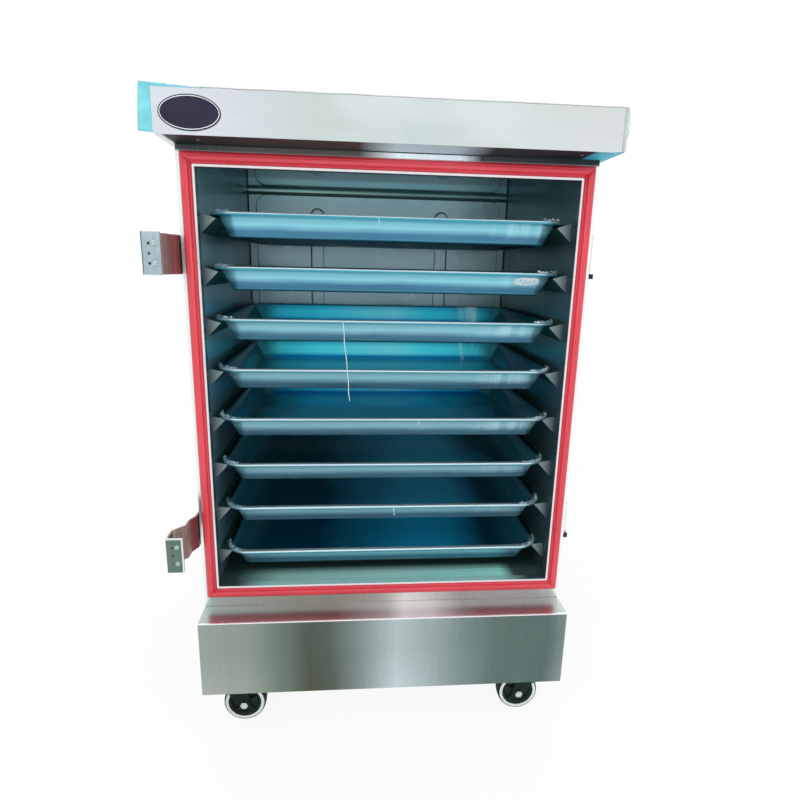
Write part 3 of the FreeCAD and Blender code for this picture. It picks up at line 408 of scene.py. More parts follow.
def tray_inside(index):
    """Inside of a tray; a little emission stands for the room's light through the door opening."""
    mat, _, cloud, depth, run = tray_steel(index, "inside", (0.02, 0.16, 0.22))
    across = mat.sway(mat.across(0.29), cloud, 0.16)
    shade = TRAY_END_SHADE[index]

    def lit_middle(light, gleam=0.0):
        dark = tuple(value * shade for value in light)
        pale = tuple(value + (limit - value) * gleam for value, limit in zip(light, (0.35, 0.98, 1.0)))
        return mat.ramp(across, [(0.04, dark), (0.24, light), (0.56, pale), (0.70, light), (0.96, dark)])

    def lit_right(light):
        dark = tuple(value * shade for value in light)
        return mat.ramp(across, [(0.28, dark), (0.60, light), (0.74, light), (0.88, dark)])

    floor = (lit_middle if index < 5 else lit_right)(TRAY_FLOOR_LIT_COLOR[index])
    # Painted shade on the rear wall: dark under the rim and towards the floor
    wall = mat.ramp(mat.step(depth, 0.0, TRAY_HEIGHT), [
        (0.03, (0.10, 0.10, 0.16)), (0.10, (0.55, 0.62, 0.72)), (0.35, (1.0, 1.0, 1.0)),
        (0.66, (0.92, 0.95, 1.0)), (0.86, (0.05, 0.22, 0.42)), (1.0, (0.05, 0.25, 0.45)),
    ])
    rear = mat.mix(1.0, lit_middle(TRAY_REAR_LIT_COLOR[index], TRAY_GLEAM[index]), wall, "MULTIPLY")
    back = mat.step(run, 0.158, 0.166)
    tone = mat.mix(back, floor, rear)
    # Painted highlights on crinkled film near the right end of the rear wall
    crinkle_highlights = mat.step(mat.noise(1.0, 1.0, 0.5, stretch=(60, 2, 5)), 0.46, 0.66)
    crinkle_highlights = mat.between(crinkle_highlights, mat.axis("X"), (0.185, 0.200), (0.240, 0.230))
    crinkle_highlights = mat.times(mat.times(crinkle_highlights, back), TRAY_REAR_CRINKLE_HIGHLIGHTS[index])
    tone = mat.mix(crinkle_highlights, tone, (0.62, 0.98, 1.0))
    # Painted shade towards both ends of the tray
    side = mat.step(mat.from_middle(), 0.238, 0.268)
    tone = mat.mix(mat.times(side, 0.85), tone, (0.014, 0.090, 0.12))
    # Painted highlight along the front of the lip
    edge = mat.between(mat.remap(depth, 0.0022, 0.0010, 0.0, 0.8), run, (-0.150, -0.186))
    mat.color(mat.mix(edge, tone, (0.62, 0.80, 0.86)))
    glowing = mat.mix(back, grey(TRAY_FLOOR_GLOW[index]), grey(1.0))
    mat.feed("Emission Color", mat.mix(glowing, grey(0.0), tone))
    mat.set("Emission Strength", TRAY_GLOW[index])
    mat.feed("Metallic", mat.mix(back, grey(0.45), grey(0.12)))
    mat.rough(cloud, 0.08, 0.16)
    return mat.m


def tray_outside(index):
    """Outside of a tray: a lip painted pale at the front as a highlight and dark further back as shade,
    painted shade under it, a wall painted lighter in its middle and darker lower down, a thin painted
    highlight line near the bottom and painted shade at the foot.
    """
    mat, fine, cloud, depth, run = tray_steel(index, "outside", (0.12, 0.36, 0.42))

    def blend(grey_tone, blue_tone):
        mixed = [g + (b - g) * TRAY_BLUE[index] for g, b in zip(grey_tone, blue_tone)]
        return tuple(min(1.0, value * TRAY_LIGHT_GAIN[index]) for value in mixed)

    # Tones down the wall: painted shade under the hem, lit in the middle, darker low down, a painted
    # highlight line, painted shade at the foot
    hem_shadow = blend((0.10, 0.18, 0.20), (0.07, 0.34, 0.46))
    top = blend((0.22, 0.34, 0.36), (0.20, 0.52, 0.62))
    lit_belly = blend((0.28, 0.42, 0.45), (0.28, 0.66, 0.78))
    low = blend((0.10, 0.19, 0.22), (0.08, 0.24, 0.38))
    glint = blend((0.16, 0.28, 0.31), (0.11, 0.38, 0.52))
    foot = blend((0.02, 0.07, 0.09), (0.04, 0.18, 0.27))
    level = mat.sway(mat.times(depth, 1 / TRAY_HEIGHT), cloud, 0.14)
    tone = mat.ramp(level, [
        (0.13, hem_shadow), (0.24, top), (0.45, lit_belly), (0.70, low), (0.86, low), (0.92, glint), (0.99, foot),
    ])
    # Lip: painted highlight at the front, painted shade further back
    lip = mat.mix(mat.step(run, -0.150, -0.186), (0.012, 0.045, 0.06), (0.66, 0.82, 0.86))
    tone = mat.mix(mat.step(depth, 0.0030, 0.0018), tone, lip)
    # Painted highlights on crinkled film near the right end of the wall
    crinkle_highlights = mat.step(mat.noise(1.0, 1.0, 0.5, stretch=(70, 2, 5)), 0.44, 0.66)
    crinkle_highlights = mat.between(crinkle_highlights, mat.axis("X"), (0.150, 0.200), (0.285, 0.262))
    crinkle_highlights = mat.between(crinkle_highlights, depth, (0.004, 0.008), (0.030, 0.022))
    crinkle_highlights = mat.times(crinkle_highlights, TRAY_WALL_CRINKLE_HIGHLIGHTS[index])
    tone = mat.mix(crinkle_highlights, tone, blend((0.62, 0.78, 0.82), (0.62, 0.92, 0.98)))
    mat.color(mat.grained(0.16, tone, fine))
    mat.rough(cloud, 0.26, 0.40)
    return mat.m


def duct_metal(name, shade_from):
    """Satin back wall; above the given height a painted shaded strip and a fold below the ceiling painted
    pale as a highlight.
    """
    mat = Mat(name, (0.6, 0.75, 0.72), metallic=0.55, rough=0.26)
    fine = mat.brush((300, 300, 5))
    cloud = mat.cloud((5, 5, 3))
    tone = mat.mix(0.08, mat.tones(cloud, (0.48, 0.68, 0.74), (0.66, 0.90, 0.97)), fine, "SOFT_LIGHT")
    strip = mat.step(mat.axis("Z"), shade_from, shade_from + 0.001)
    # Fold below the ceiling painted pale as a highlight
    fold = mat.step(mat.axis("Z"), shade_from + 0.0078, shade_from + 0.0086)
    fold_highlights = [(0.1, (0.75, 0.98, 0.90)), (0.6, (0.34, 0.50, 0.48)), (1.0, (0.40, 0.60, 0.56))]
    pale = mat.ramp(mat.across(0.3), fold_highlights)
    mat.color(mat.mix(fold, mat.mix(strip, tone, (0.035, 0.085, 0.08)), pale))
    mat.rough(cloud, 0.24, 0.34)
    mat.bump(fine, 0.00003, 0.2)
    return mat.m


def liner_metal():
    """Side walls: slate, the left one painted a little lighter near the door where light comes in."""
    mat = Mat("liner_steel", (0.1, 0.17, 0.2), metallic=0.6, rough=0.26)
    fine = mat.noise(1.0, 3.0, 0.5, stretch=(5, 260, 260))
    run = mat.sway(mat.step(mat.axis("Y"), -0.26, 0.15), mat.cloud((3, 2.5, 2.5)), 0.5)
    # Painted light: the left wall lighter near the door
    left = mat.ramp(run, [(0.0, (0.22, 0.38, 0.44)), (0.35, (0.15, 0.31, 0.37)), (1.0, (0.07, 0.18, 0.22))])
    right = mat.ramp(run, [(0.0, (0.08, 0.14, 0.16)), (0.4, (0.07, 0.15, 0.16)), (1.0, (0.08, 0.18, 0.20))])
    mat.color(mat.mix(mat.across(0.1), left, right))
    mat.rough(fine, 0.27, 0.31)
    return mat.m


def ceiling_metal():
    """Polished ceiling, painted dimmer towards the door."""
    mat = Mat("ceiling_steel", (0.4, 0.65, 0.65), metallic=0.8, rough=0.08)
    cloud = mat.cloud((7, 4, 4))
    tone = mat.ramp(cloud, [(0.35, (0.16, 0.84, 0.94)), (0.65, (0.62, 1.0, 1.0))])
    # Painted dark band towards the door
    mat.color(mat.mix(mat.step(mat.axis("Y"), 0.035, 0.005), tone, (0.05, 0.26, 0.32)))
    mat.rough(cloud, 0.07, 0.12)
    return mat.m


def chamber_floor_metal():
    """Polished floor: a strip just inside the door painted bright and darker at its ends, with painted
    shadow of the lowest tray behind it.
    """
    mat = Mat("chamber_floor_steel", (0.3, 0.5, 0.45), metallic=0.1, rough=0.3)
    fine = mat.brush((5, 220, 220))
    # Strip just inside the door painted bright, darker towards its ends
    tone = mat.ramp(mat.across(0.30), [
        (0.03, (0.05, 0.09, 0.08)), (0.16, (0.34, 0.60, 0.54)), (0.5, (0.44, 0.74, 0.70)),
        (0.77, (0.40, 0.82, 0.74)), (0.88, (0.44, 0.98, 0.86)), (0.92, (0.06, 0.10, 0.09)),
    ])
    # Painted shadow of the lowest tray behind the bright strip
    tone = mat.mix(mat.step(mat.axis("Y"), -0.222, -0.196), tone, (0.020, 0.045, 0.045))
    mat.color(mat.mix(0.08, tone, mat.cloud((4, 30, 4)), "SOFT_LIGHT"))
    mat.rough(fine, 0.22, 0.36)
    mat.bump(fine, 0.00003, 0.3)
    return mat.m


def trim_metal():
    """Bright rim of the opening; its inner faces are painted dark, with a painted reflection of the chamber
    along the middle of the lower one.
    """
    mat = Mat("trim_steel", (0.8, 0.78, 0.8), metallic=1.0, rough=0.22)
    grain = mat.noise(200.0, 3.0)
    pale = mat.tones(grain, (0.80, 0.74, 0.77), (0.90, 0.84, 0.87))
    inner = mat.step(mat.axis("Y"), -0.2672, -0.2664)
    low = mat.between(mat.step(mat.axis("Z"), 0.30, 0.298), mat.from_middle(), (0.275, 0.22))
    # Inner faces painted dark, with a painted reflection of the chamber in the middle of the lower one
    mat.color(mat.mix(inner, pale, mat.mix(low, (0.045, 0.075, 0.085), (0.36, 0.62, 0.57))))
    mat.feed("Metallic", mat.mix(inner, grey(1.0), grey(0.2)))
    mat.rough(grain, 0.18, 0.28)
    return mat.m


def rail_metal():
    """Tray rails: the slanted nose is painted darker towards the wall as shade, and what lies behind it is
    painted as in shade.
    """
    slant = 9.0 / 22.0
    nose_line = -0.225 + CHAMBER_HALF * slant
    mat = Mat("rail_steel", (0.2, 0.25, 0.25), metallic=0.6, rough=0.34)
    fine = mat.noise(1.0, 3.0, 0.6, stretch=(200, 8, 200))
    side = mat.from_middle()
    grays = [(0.0, (0.24, 0.31, 0.31)), (0.40, (0.16, 0.21, 0.22)), (1.0, (0.035, 0.060, 0.070))]
    # Nose painted darker towards the wall as shade
    nose = mat.ramp(mat.step(side, 0.2885, CHAMBER_HALF), grays)
    run = mat.math("ADD", mat.axis("Y"), mat.times(side, slant))
    behind = mat.step(run, nose_line + 0.0004, nose_line + 0.0012)
    # What lies behind the nose is painted as in shade
    mat.color(mat.mix(behind, nose, (0.040, 0.150, 0.130)))
    mat.rough(fine, 0.28, 0.42)
    mat.bump(fine, 0.00005, 0.3)
    return mat.m


def keeper_metal():
    """Latch keepers: pale plates with a dark foot."""
    keeper_pitch = 0.477
    mat = Mat("keeper_steel", grey(0.7), metallic=0.8, rough=0.35)
    height = mat.axis("Z")
    upper = mat.math("GREATER_THAN", height, 0.6)
    height = mat.math("SUBTRACT", height, mat.times(upper, keeper_pitch))
    wear = mat.tones(mat.noise(60.0, 3.0), (0.66, 0.62, 0.64), (0.84, 0.80, 0.82))
    mat.color(mat.mix(mat.step(height, 0.3850, 0.3840), wear, (0.03, 0.028, 0.026)))
    mat.rough(mat.noise(90.0, 3.0), 0.3, 0.42)
    return mat.m


def hinge_metal(name, plate, plate_dark, low):
    """Door hinge arm: cool plate at the front, and a strap painted in reddish stripes as a reflection of
    the seal beside it.
    """
    mat = Mat(name, plate, metallic=0.6, rough=0.34)
    fine = mat.brush((240, 240, 7))
    cloud = mat.noise(26.0, 3.0, 0.6)
    cool = mat.ramp(mat.mix(0.5, fine, cloud), [(0.35, plate_dark), (0.65, plate)])
    stripes = mat.mix(0.4, mat.cloud((130, 20, 3)), fine)
    run = mat.step(mat.axis("Y"), -0.345, -0.275)
    lit = mat.ramp(run, [(0.0, (0.38, 0.36, 0.33)), (0.4, (0.36, 0.26, 0.23)), (1.0, (0.46, 0.21, 0.21))])
    dim = mat.ramp(run, [(0.0, (0.22, 0.19, 0.17)), (0.4, (0.19, 0.12, 0.10)), (1.0, (0.26, 0.09, 0.09))])
    # Painted reflection of the seal on the strap, in lit and dim stripes
    strap_reflection = mat.mix(mat.step(stripes, 0.38, 0.62), dim, lit)
    if low:
        top, right = mat.step(mat.axis("Z"), 0.4305, 0.4315), mat.step(mat.axis("X"), -0.3385, -0.3375)
        cool = mat.mix(mat.math("MAXIMUM", top, right), cool, (0.70, 0.78, 0.74))
    else:
        cool = mat.mix(mat.step(mat.axis("X"), -0.3604, -0.3610), cool, (0.03, 0.08, 0.08))
    mat.color(mat.mix(mat.step(mat.axis("Y"), -0.3495, -0.3440), cool, strap_reflection))
    mat.rough(cloud, 0.24, 0.38)
    mat.bump(cloud, 0.0002, 0.4)
    return mat.m


SIDE_LIGHT, SIDE_DARK = (0.70, 0.72, 0.73), (0.52, 0.55, 0.56)
cabinet_side = steel("cabinet_side_steel", SIDE_DARK, SIDE_LIGHT, 0.32, (350, 350, 5), (3, 3, 0.8), 0.0012)
liner_steel = liner_metal()
floor_steel = chamber_floor_metal()
duct_steel = duct_metal("duct_steel", 2.0)
bolt_steel = steel("bolt_steel", (0.42, 0.52, 0.50), (0.68, 0.78, 0.76), 0.25, (150, 150, 150))
mint_steel = steel("bolt_steel_mint", (0.24, 0.40, 0.34), (0.40, 0.58, 0.50), 0.3, (150, 150, 150))
fork_black = plastic("caster_fork_black", (0.004, 0.010, 0.008), (0.012, 0.024, 0.020), 0.5, shine=0.1)
zinc = steel("caster_zinc", (0.16, 0.17, 0.18), (0.34, 0.35, 0.37), 0.42, (120, 120, 120))
heater_steel = steel("heater_steel", (0.25, 0.21, 0.18), (0.45, 0.40, 0.36), 0.45, (100, 100, 100))
brass = steel("brass", (0.55, 0.40, 0.16), (0.80, 0.62, 0.30), 0.3, (120, 120, 120))
tyre_black = plastic("tyre_black", (0.004, 0.008, 0.007), (0.016, 0.024, 0.021), 0.6, shine=0.1)
ring_grey = plastic("tyre_ring_grey", (0.50, 0.55, 0.54), (0.70, 0.75, 0.74), 0.5)
hub_black = plastic("hub_black", (0.004, 0.009, 0.008), (0.015, 0.026, 0.022), 0.42, shine=0.12)
gland_black = plastic("gland_black", (0.012, 0.012, 0.014), (0.03, 0.03, 0.035), 0.5)
badge_dark = plastic("badge_dark", (0.012, 0.012, 0.026), (0.030, 0.026, 0.050), 0.4, 0.00005, 120.0, 0.2)
badge_white = plastic("badge_white", (0.62, 0.64, 0.68), (0.80, 0.82, 0.84), 0.3, 0.00005, 120.0)
lever_red = plastic("lever_red", (0.40, 0.02, 0.02), (0.58, 0.04, 0.03), 0.35)
wool = plastic("insulation_wool", (0.45, 0.40, 0.26), (0.70, 0.64, 0.45), 0.95, 0.002, 160.0)
# Dark for seam lines on the front and for the painted shadow lines in the chamber
seam_and_shadow_dark = plastic("seam_shadow", (0.006, 0.012, 0.014), (0.02, 0.035, 0.04), 0.5)
film_edge = plastic("film_edge_grey", (0.30, 0.29, 0.29), (0.46, 0.45, 0.45), 0.5)
film_cyan = film("film_cyan", (0.10, 0.48, 0.54), (0.20, 0.60, 0.66), 0.92)
film_white = film("film_white", (0.45, 0.66, 0.76), (0.90, 0.96, 0.99), 0.62)
film_curl = film("film_curl", (0.10, 0.30, 0.42), (0.72, 0.88, 0.94), 0.85, 0.49)
film_pale = film("film_pale", (0.50, 0.54, 0.54), (0.60, 0.63, 0.63), 0.6)
hinge_upper = hinge_metal("hinge_upper_steel", (0.42, 0.52, 0.58), (0.30, 0.38, 0.42), False)
hinge_lower = hinge_metal("hinge_lower_steel", (0.13, 0.19, 0.15), (0.09, 0.14, 0.11), True)


# Mesh helpers
def new_object(name, mesh, material, body, *nodes):
    obj = bpy.data.objects.new(name, mesh)
    bpy.context.scene.collection.objects.link(obj)
    obj.data.materials.append(material)
    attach(obj, body)
    if nodes:
        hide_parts(*nodes)
    return obj


def mesh_from(name, verts, faces, smooth=True):
    mesh = bpy.data.meshes.new(name)
    mesh.from_pydata([tuple(v) for v in verts], [], faces)
    mesh.validate()
    bm = bmesh.new()
    bm.from_mesh(mesh)
    bmesh.ops.recalc_face_normals(bm, faces=bm.faces)
    bm.to_mesh(mesh)
    bm.free()
    for poly in mesh.polygons:
        poly.use_smooth = smooth
    return mesh


def grid_faces(rows, cols, wrap_rows=False, wrap_cols=False):
    faces = []
    for r in range(rows if wrap_rows else rows - 1):
        for c in range(cols if wrap_cols else cols - 1):
            r2, c2 = (r + 1) % rows, (c + 1) % cols
            faces.append((r * cols + c, r * cols + c2, r2 * cols + c2, r2 * cols + c))
    return faces


def around(count):
    """Cosine and sine of evenly spaced directions round a circle."""
    return [(math.cos(2 * math.pi * k / count), math.sin(2 * math.pi * k / count)) for k in range(count)]


def shade(obj, angle=35):
    """Smooth shading that keeps creases over the angle, without touching the CAD vertices."""
    for poly in obj.data.polygons:
        poly.use_smooth = True
    obj.data.set_sharp_from_angle(angle=math.radians(angle))


def bevel(obj, width):
    mod = obj.modifiers.new("edge", "BEVEL")
    mod.width = width
    mod.segments = 2
    mod.limit_method = "ANGLE"
    mod.angle_limit = math.radians(40)
    mod.harden_normals = False


# CAD nodes that keep their shape: material and width of the softened edges
PAINT = {
    "front_frame": (frame_metal(), 0.0004), "base_front_panel": (plinth_metal(), 0.0011),
    "canopy_shell": (canopy_metal(), 0.0008), "canopy_underside": (underside_metal(), 0),
    "liner_left": (liner_steel, 0), "liner_right": (liner_steel, 0),
    "liner_back": (duct_metal("back_wall_steel", 1.0228), 0), "liner_ceiling": (ceiling_metal(), 0),
    "liner_floor": (floor_steel, 0), "steam_plate": (floor_steel, 0),
    "water_tank": (liner_steel, 0), "feed_box": (liner_steel, 0),
    "back_duct": (duct_steel, 0.0006), "steam_columns": (duct_steel, 0),
    "tray_rails": (rail_metal(), 0.0010), "opening_trim": (trim_metal(), 0.0008),
    "insulation": (wool, 0), "heating_elements": (heater_steel, 0),
    "drain_valve": (brass, 0.0006), "drain_lever": (lever_red, 0.0006),
    "cable_gland": (gland_black, 0.0006), "steam_vent": (cabinet_side, 0.0005),
    "hinge_brackets": (cabinet_side, 0.0006), "hinge_pins": (bolt_steel, 0.0004),
    "hinge_arm_upper": (hinge_upper, 0.0006), "hinge_arm_lower": (hinge_lower, 0.0006),
    "hinge_bolts_upper": (bolt_steel, 0), "hinge_bolts_lower": (mint_steel, 0),
    "latch_keepers": (keeper_metal(), 0.0006), "caster_plates": (zinc, 0.0008),
}
OUTER_SHEETS = ["side_panel_left", "side_panel_right", "rear_panel"]
OUTER_SHEETS += ["base_rear_panel", "base_side_panels", "base_floor_pan"]
for name in OUTER_SHEETS:
    PAINT[name] = (cabinet_side, 0.0004)
for name in ("front_axle_left", "front_axle_right", "rear_axles"):
    PAINT[name] = (bolt_steel, 0.0004)
for name in ("caster_fork_left", "caster_fork_right", "rear_caster_forks"):
    PAINT[name] = (fork_black, 0.0008)

for name, (material, edge) in PAINT.items():
    solid = NODES[name]
    solid.data.materials.clear()
    solid.data.materials.append(material)
    if edge:
        bevel(solid, edge)
    shade(solid)


# Door seal: rounded bead with fine grooves, mitred at the corners
def door_seal():
    half_x, low_z, high_z = 0.308, 0.2895, 1.0115
    width, height, least = 0.019, 0.009, 0.0002
    steps, runs = 64, 40
    grooves = ((0.0022, 0.22, 0.050), (0.0005, 0.66, 0.030))
    mitre = 0.0016

    def bead(u):
        arch = height * (1 - abs(2 * u - 1) ** 2.4) ** 0.6
        cut = sum(deep * math.exp(-((u - place) / wide) ** 2) for deep, place, wide in grooves)
        return max(arch - cut, least)

    corners = [(-half_x, low_z, -1, -1), (half_x, low_z, 1, -1)]
    corners += [(half_x, high_z, 1, 1), (-half_x, high_z, -1, 1)]
    verts = []
    for start, end in zip(corners, corners[1:] + corners[:1]):
        length = math.hypot(end[0] - start[0], end[1] - start[1])
        for j in range(runs):
            f = 0.5 - 0.5 * math.cos(math.pi * j / runs)
            to_corner = min(f, 1 - f) * length
            for i in range(steps + 1):
                u = i / steps
                ax, az = start[0] + start[2] * u * width, start[1] + start[3] * u * width
                bx, bz = end[0] + end[2] * u * width, end[1] + end[3] * u * width
                lift = bead(u) - mitre * math.exp(-((to_corner / mitre) ** 2))
                lift += 0.0001 * noise.noise(Vector((ax * 9 + bx * 9 * f, u, az * 9 + f * 7)))
                verts.append((ax + (bx - ax) * f, FRONT - max(lift, least), az + (bz - az) * f))
    mesh = mesh_from("door_seal_bead", verts, grid_faces(4 * runs, steps + 1, wrap_rows=True))
    shade(new_object("door_seal_bead", mesh, seal_rubber(), "cabinet", "door_seal"), 50)


door_seal()


# Trays
def rounded_ring(half_x, half_y, corner, per_corner=9, per_side=12):
    """Points round a rounded rectangle, anticlockwise from the right side."""
    arcs = []
    for sx, sy, start in ((1, 1, 0), (-1, 1, 90), (-1, -1, 180), (1, -1, 270)):
        arc = []
        for i in range(per_corner + 1):
            t = math.radians(start + 90 * i / per_corner)
            x = sx * (half_x - corner) + corner * math.cos(t)
            y = sy * (half_y - corner) + corner * math.sin(t)
            arc.append((x, y))
        arcs.append(arc)
    points = []
    for arc, following in zip(arcs, arcs[1:] + arcs[:1]):
        points += arc
        a, b = arc[-1], following[0]
        for i in range(1, per_side):
            f = i / per_side
            points.append((a[0] + (b[0] - a[0]) * f, a[1] + (b[1] - a[1]) * f))
    return points


def foot_arc(offset, bottom, radius):
    """Arc from the floor up to the sloping wall, as (inset, depth)."""
    turn = math.pi / 2 - math.atan(TRAY_LEAN)
    middle = TRAY_LIP + offset + TRAY_LEAN * bottom + radius * math.tan(turn / 2)
    angles = [turn * i / 6 for i in range(7)]
    return [(middle - radius * math.sin(t), bottom - radius + radius * math.cos(t)) for t in angles]


def tray_profile():
    """Inner and outer profile as (inset from the lip's edge, depth under the rim)."""
    inner = foot_arc(TRAY_SHEET, TRAY_HEIGHT - TRAY_SHEET, TRAY_FOOT - TRAY_SHEET)
    inner += [(TRAY_LIP + TRAY_SHEET + TRAY_LEAN * d, d) for d in (0.026, 0.018, 0.010, 0.0035)]
    inner.append((TRAY_LIP + 0.0010, 0.0009))
    lip = [(TRAY_LIP - 0.0010, 0.0), (0.0022, 0.0), (0.0008, 0.0003), (0.0, 0.0014), (0.0, 0.0030)]
    lip += [(0.0, 0.0048), (0.0005, 0.0053), (0.0012, 0.0048), (0.0013, 0.0020), (0.0024, 0.0011)]
    lip.append((TRAY_LIP - 0.0012, 0.0012))
    wall = [(TRAY_LIP + TRAY_LEAN * d, d) for d in (0.0035, 0.010, 0.018, 0.026)]
    return inner, lip + wall + foot_arc(0.0, TRAY_HEIGHT, TRAY_FOOT)[::-1]


def tray(index):
    rim, middle = RIM[index], TRAY_MIDDLE[index]
    rng = random.Random(40 + index)
    seed = Vector((rng.uniform(0, 50), rng.uniform(0, 50), rng.uniform(0, 50)))
    inner, outer = tray_profile()
    verts = []
    for inset, depth in inner + outer:
        corner = max(TRAY_CORNER - inset, 0.004)
        for x, y in rounded_ring(TRAY_HALF_X - inset, TRAY_HALF_Y - inset, corner):
            swell = noise.noise(Vector((x * 6, y * 6, 0)) + seed) * 0.0004
            verts.append((x, middle + y, rim - depth + swell))
    rows = len(inner) + len(outer)
    cols = len(verts) // rows
    faces = grid_faces(rows, cols, wrap_cols=True)
    slots = [0 if face < len(inner) * cols else 1 for face in range(len(faces))]

    def close(row, depth, slot):
        """Floor inside a ring of the profile: concentric rings down to a small middle face."""
        edge = verts[row * cols:(row + 1) * cols]
        previous = row * cols
        for share in (0.7, 0.4, 0.15):
            base = len(verts)
            for x, y, _ in edge:
                px, py = x * share, middle + (y - middle) * share
                dent = noise.noise(Vector((px * 5, py * 5, 3)) + seed) * 0.0010
                verts.append((px, py, rim - depth + dent))
            for c in range(cols):
                c2 = (c + 1) % cols
                faces.append((previous + c, previous + c2, base + c2, base + c))
                slots.append(slot)
            previous = base
        faces.append(tuple(range(previous, previous + cols)))
        slots.append(slot)

    close(0, TRAY_HEIGHT - TRAY_SHEET, 0)
    close(rows - 1, TRAY_HEIGHT, 1)
    name = f"tray_{index + 1}"
    pan = new_object(f"{name}_pan", mesh_from(f"{name}_pan", verts, faces), tray_inside(index), name, name)
    pan.data.materials.append(tray_outside(index))
    for poly, slot in zip(pan.data.polygons, slots):
        poly.material_index = slot
    shade(pan, 60)


for index in TRAYS:
    tray(index)


# Wheels
def revolve(name, profile, centre, axis, material, body, segments, *nodes):
    """Closed ring turned about an axle along X or Y; profile points are (radius, offset)."""
    verts = []
    for cosine, sine in around(segments):
        for radius, offset in profile:
            u, w = radius * cosine, radius * sine
            local = (u, offset, w) if axis == "Y" else (offset, u, w)
            verts.append(tuple(c + v for c, v in zip(centre, local)))
    faces = grid_faces(segments, len(profile), wrap_rows=True, wrap_cols=True)
    shade(new_object(name, mesh_from(name, verts, faces), material, body, *nodes))


def wheel(name, centre, axis, body):
    tread = []
    for i in range(13):
        t = math.pi * i / 12
        tread.append((WHEEL_RADIUS - 0.0028 + 0.0028 * math.sin(t) ** 0.7, -0.0126 * math.cos(t)))
    tyre = [(0.0308, WHEEL_HALF - 0.0006), (0.0308, -WHEEL_HALF + 0.0006)] + tread
    revolve(f"tyre_{name}_tread", tyre, centre, axis, tyre_black, body, 96, f"tyre_{name}")
    flank = [(0.0311, 0.0118), (0.0312, 0.0129), (0.0330, 0.0133)]
    flank += [(0.0352, 0.0133), (0.0372, 0.0124), (0.0371, 0.0112)]
    for place, side in (("front", -1), ("rear", 1)):
        ring = [(radius, side * offset) for radius, offset in flank]
        revolve(f"tyre_{name}_ring_{place}", ring, centre, axis, ring_grey, body, 96)
    hub = [
        (0.00405, -0.0142), (0.0105, -0.0142), (0.0120, -0.0128), (0.0125, -0.0070), (0.0150, -0.0060),
        (0.0240, -0.0072), (0.0262, -0.0112), (0.0272, -0.0119), (0.0300, -0.0119), (0.03075, -0.0112),
    ]
    hub += [(radius, -offset) for radius, offset in hub[::-1]]
    revolve(f"wheel_hub_{name}_core", hub, centre, axis, hub_black, body, 72, f"wheel_hub_{name}")
    wheel_ribs(f"wheel_hub_{name}_ribs", centre, axis, body)


def wheel_ribs(name, centre, axis, body):
    """Five ribs on each side of the hub; each ends in (radius, half width, depth)."""
    ends = ((0.0122, 0.0024, 0.0112), (0.0250, 0.0034, 0.0104))
    verts, faces = [], []
    for k in range(5):
        t = math.radians(90 + 72 * k)
        radial = Vector((math.cos(t), 0, math.sin(t)))
        across = Vector((-math.sin(t), 0, math.cos(t)))
        for side in (-1, 1):
            base = len(verts)
            for radius, half_width, face in ends:
                for w in (-half_width, half_width):
                    for depth in (0.0062, face):
                        p = radial * radius + across * w + Vector((0, side * depth, 0))
                        local = (p.x, p.y, p.z) if axis == "Y" else (p.y, p.x, p.z)
                        verts.append(tuple(c + v for c, v in zip(centre, local)))
            for f in ((0, 1, 3, 2), (4, 6, 7, 5), (0, 4, 5, 1), (2, 3, 7, 6), (0, 2, 6, 4), (1, 5, 7, 3)):
                faces.append(tuple(base + v for v in f))
    bevel(new_object(name, mesh_from(name, verts, faces, False), hub_black, body), 0.0006)


wheel("front_left", (-0.2693, -0.252, WHEEL_RADIUS), "Y", "front_wheel_left")
wheel("front_right", (0.2693, -0.252, WHEEL_RADIUS), "Y", "front_wheel_right")
wheel("rear_left", (-0.2913, 0.199, WHEEL_RADIUS), "X", "rear_wheel_left")
wheel("rear_right", (0.2913, 0.199, WHEEL_RADIUS), "X", "rear_wheel_right")


# Badge: bare dark oval with a pale line round it
def badge():
    centre_x, centre_z, count = -0.291, 1.0688, 72
    half_x, half_z = 0.0430, 0.0238

    def ovals(rings):
        """Ovals one inside the other; a ring is (inset from the edge, lift, share of that size)."""
        verts = []
        for inset, lift, share in rings:
            for cosine, sine in around(count):
                x = centre_x + (half_x - inset) * share * cosine
                z = centre_z + (half_z - inset) * share * sine
                verts.append((x, CANOPY_FRONT - lift, z))
        return verts

    def dome(name, rings, *nodes):
        verts = ovals(rings)
        faces = grid_faces(len(rings), count, wrap_cols=True)
        faces.append(tuple(range((len(rings) - 1) * count, len(rings) * count)))
        faces.append(tuple(range(count)))
        shade(new_object(name, mesh_from(name, verts, faces), badge_dark, "cabinet", *nodes), 40)

    rim = [(0.0, 0.0, 1), (0.0, 0.0009, 1), (0.0008, 0.0012, 1), (0.0030, 0.0012, 1)]
    dome("badge_rim", rim, "badge_plate")
    face = [(0.0026, 0.0010, 1)]
    for inward in [i / 6 for i in range(7)]:
        face.append((0.0030, 0.0013 + 0.0008 * (1 - (1 - inward) ** 2), 1 - 0.9 * inward))
    dome("badge_face", face)
    line = [(0.0017, 0.0011, 1), (0.0017, 0.0016, 1), (0.0027, 0.0016, 1), (0.0027, 0.0011, 1)]
    mesh = mesh_from("badge_line", ovals(line), grid_faces(4, count, True, True))
    shade(new_object("badge_line", mesh, badge_white, "cabinet"), 60)


badge()


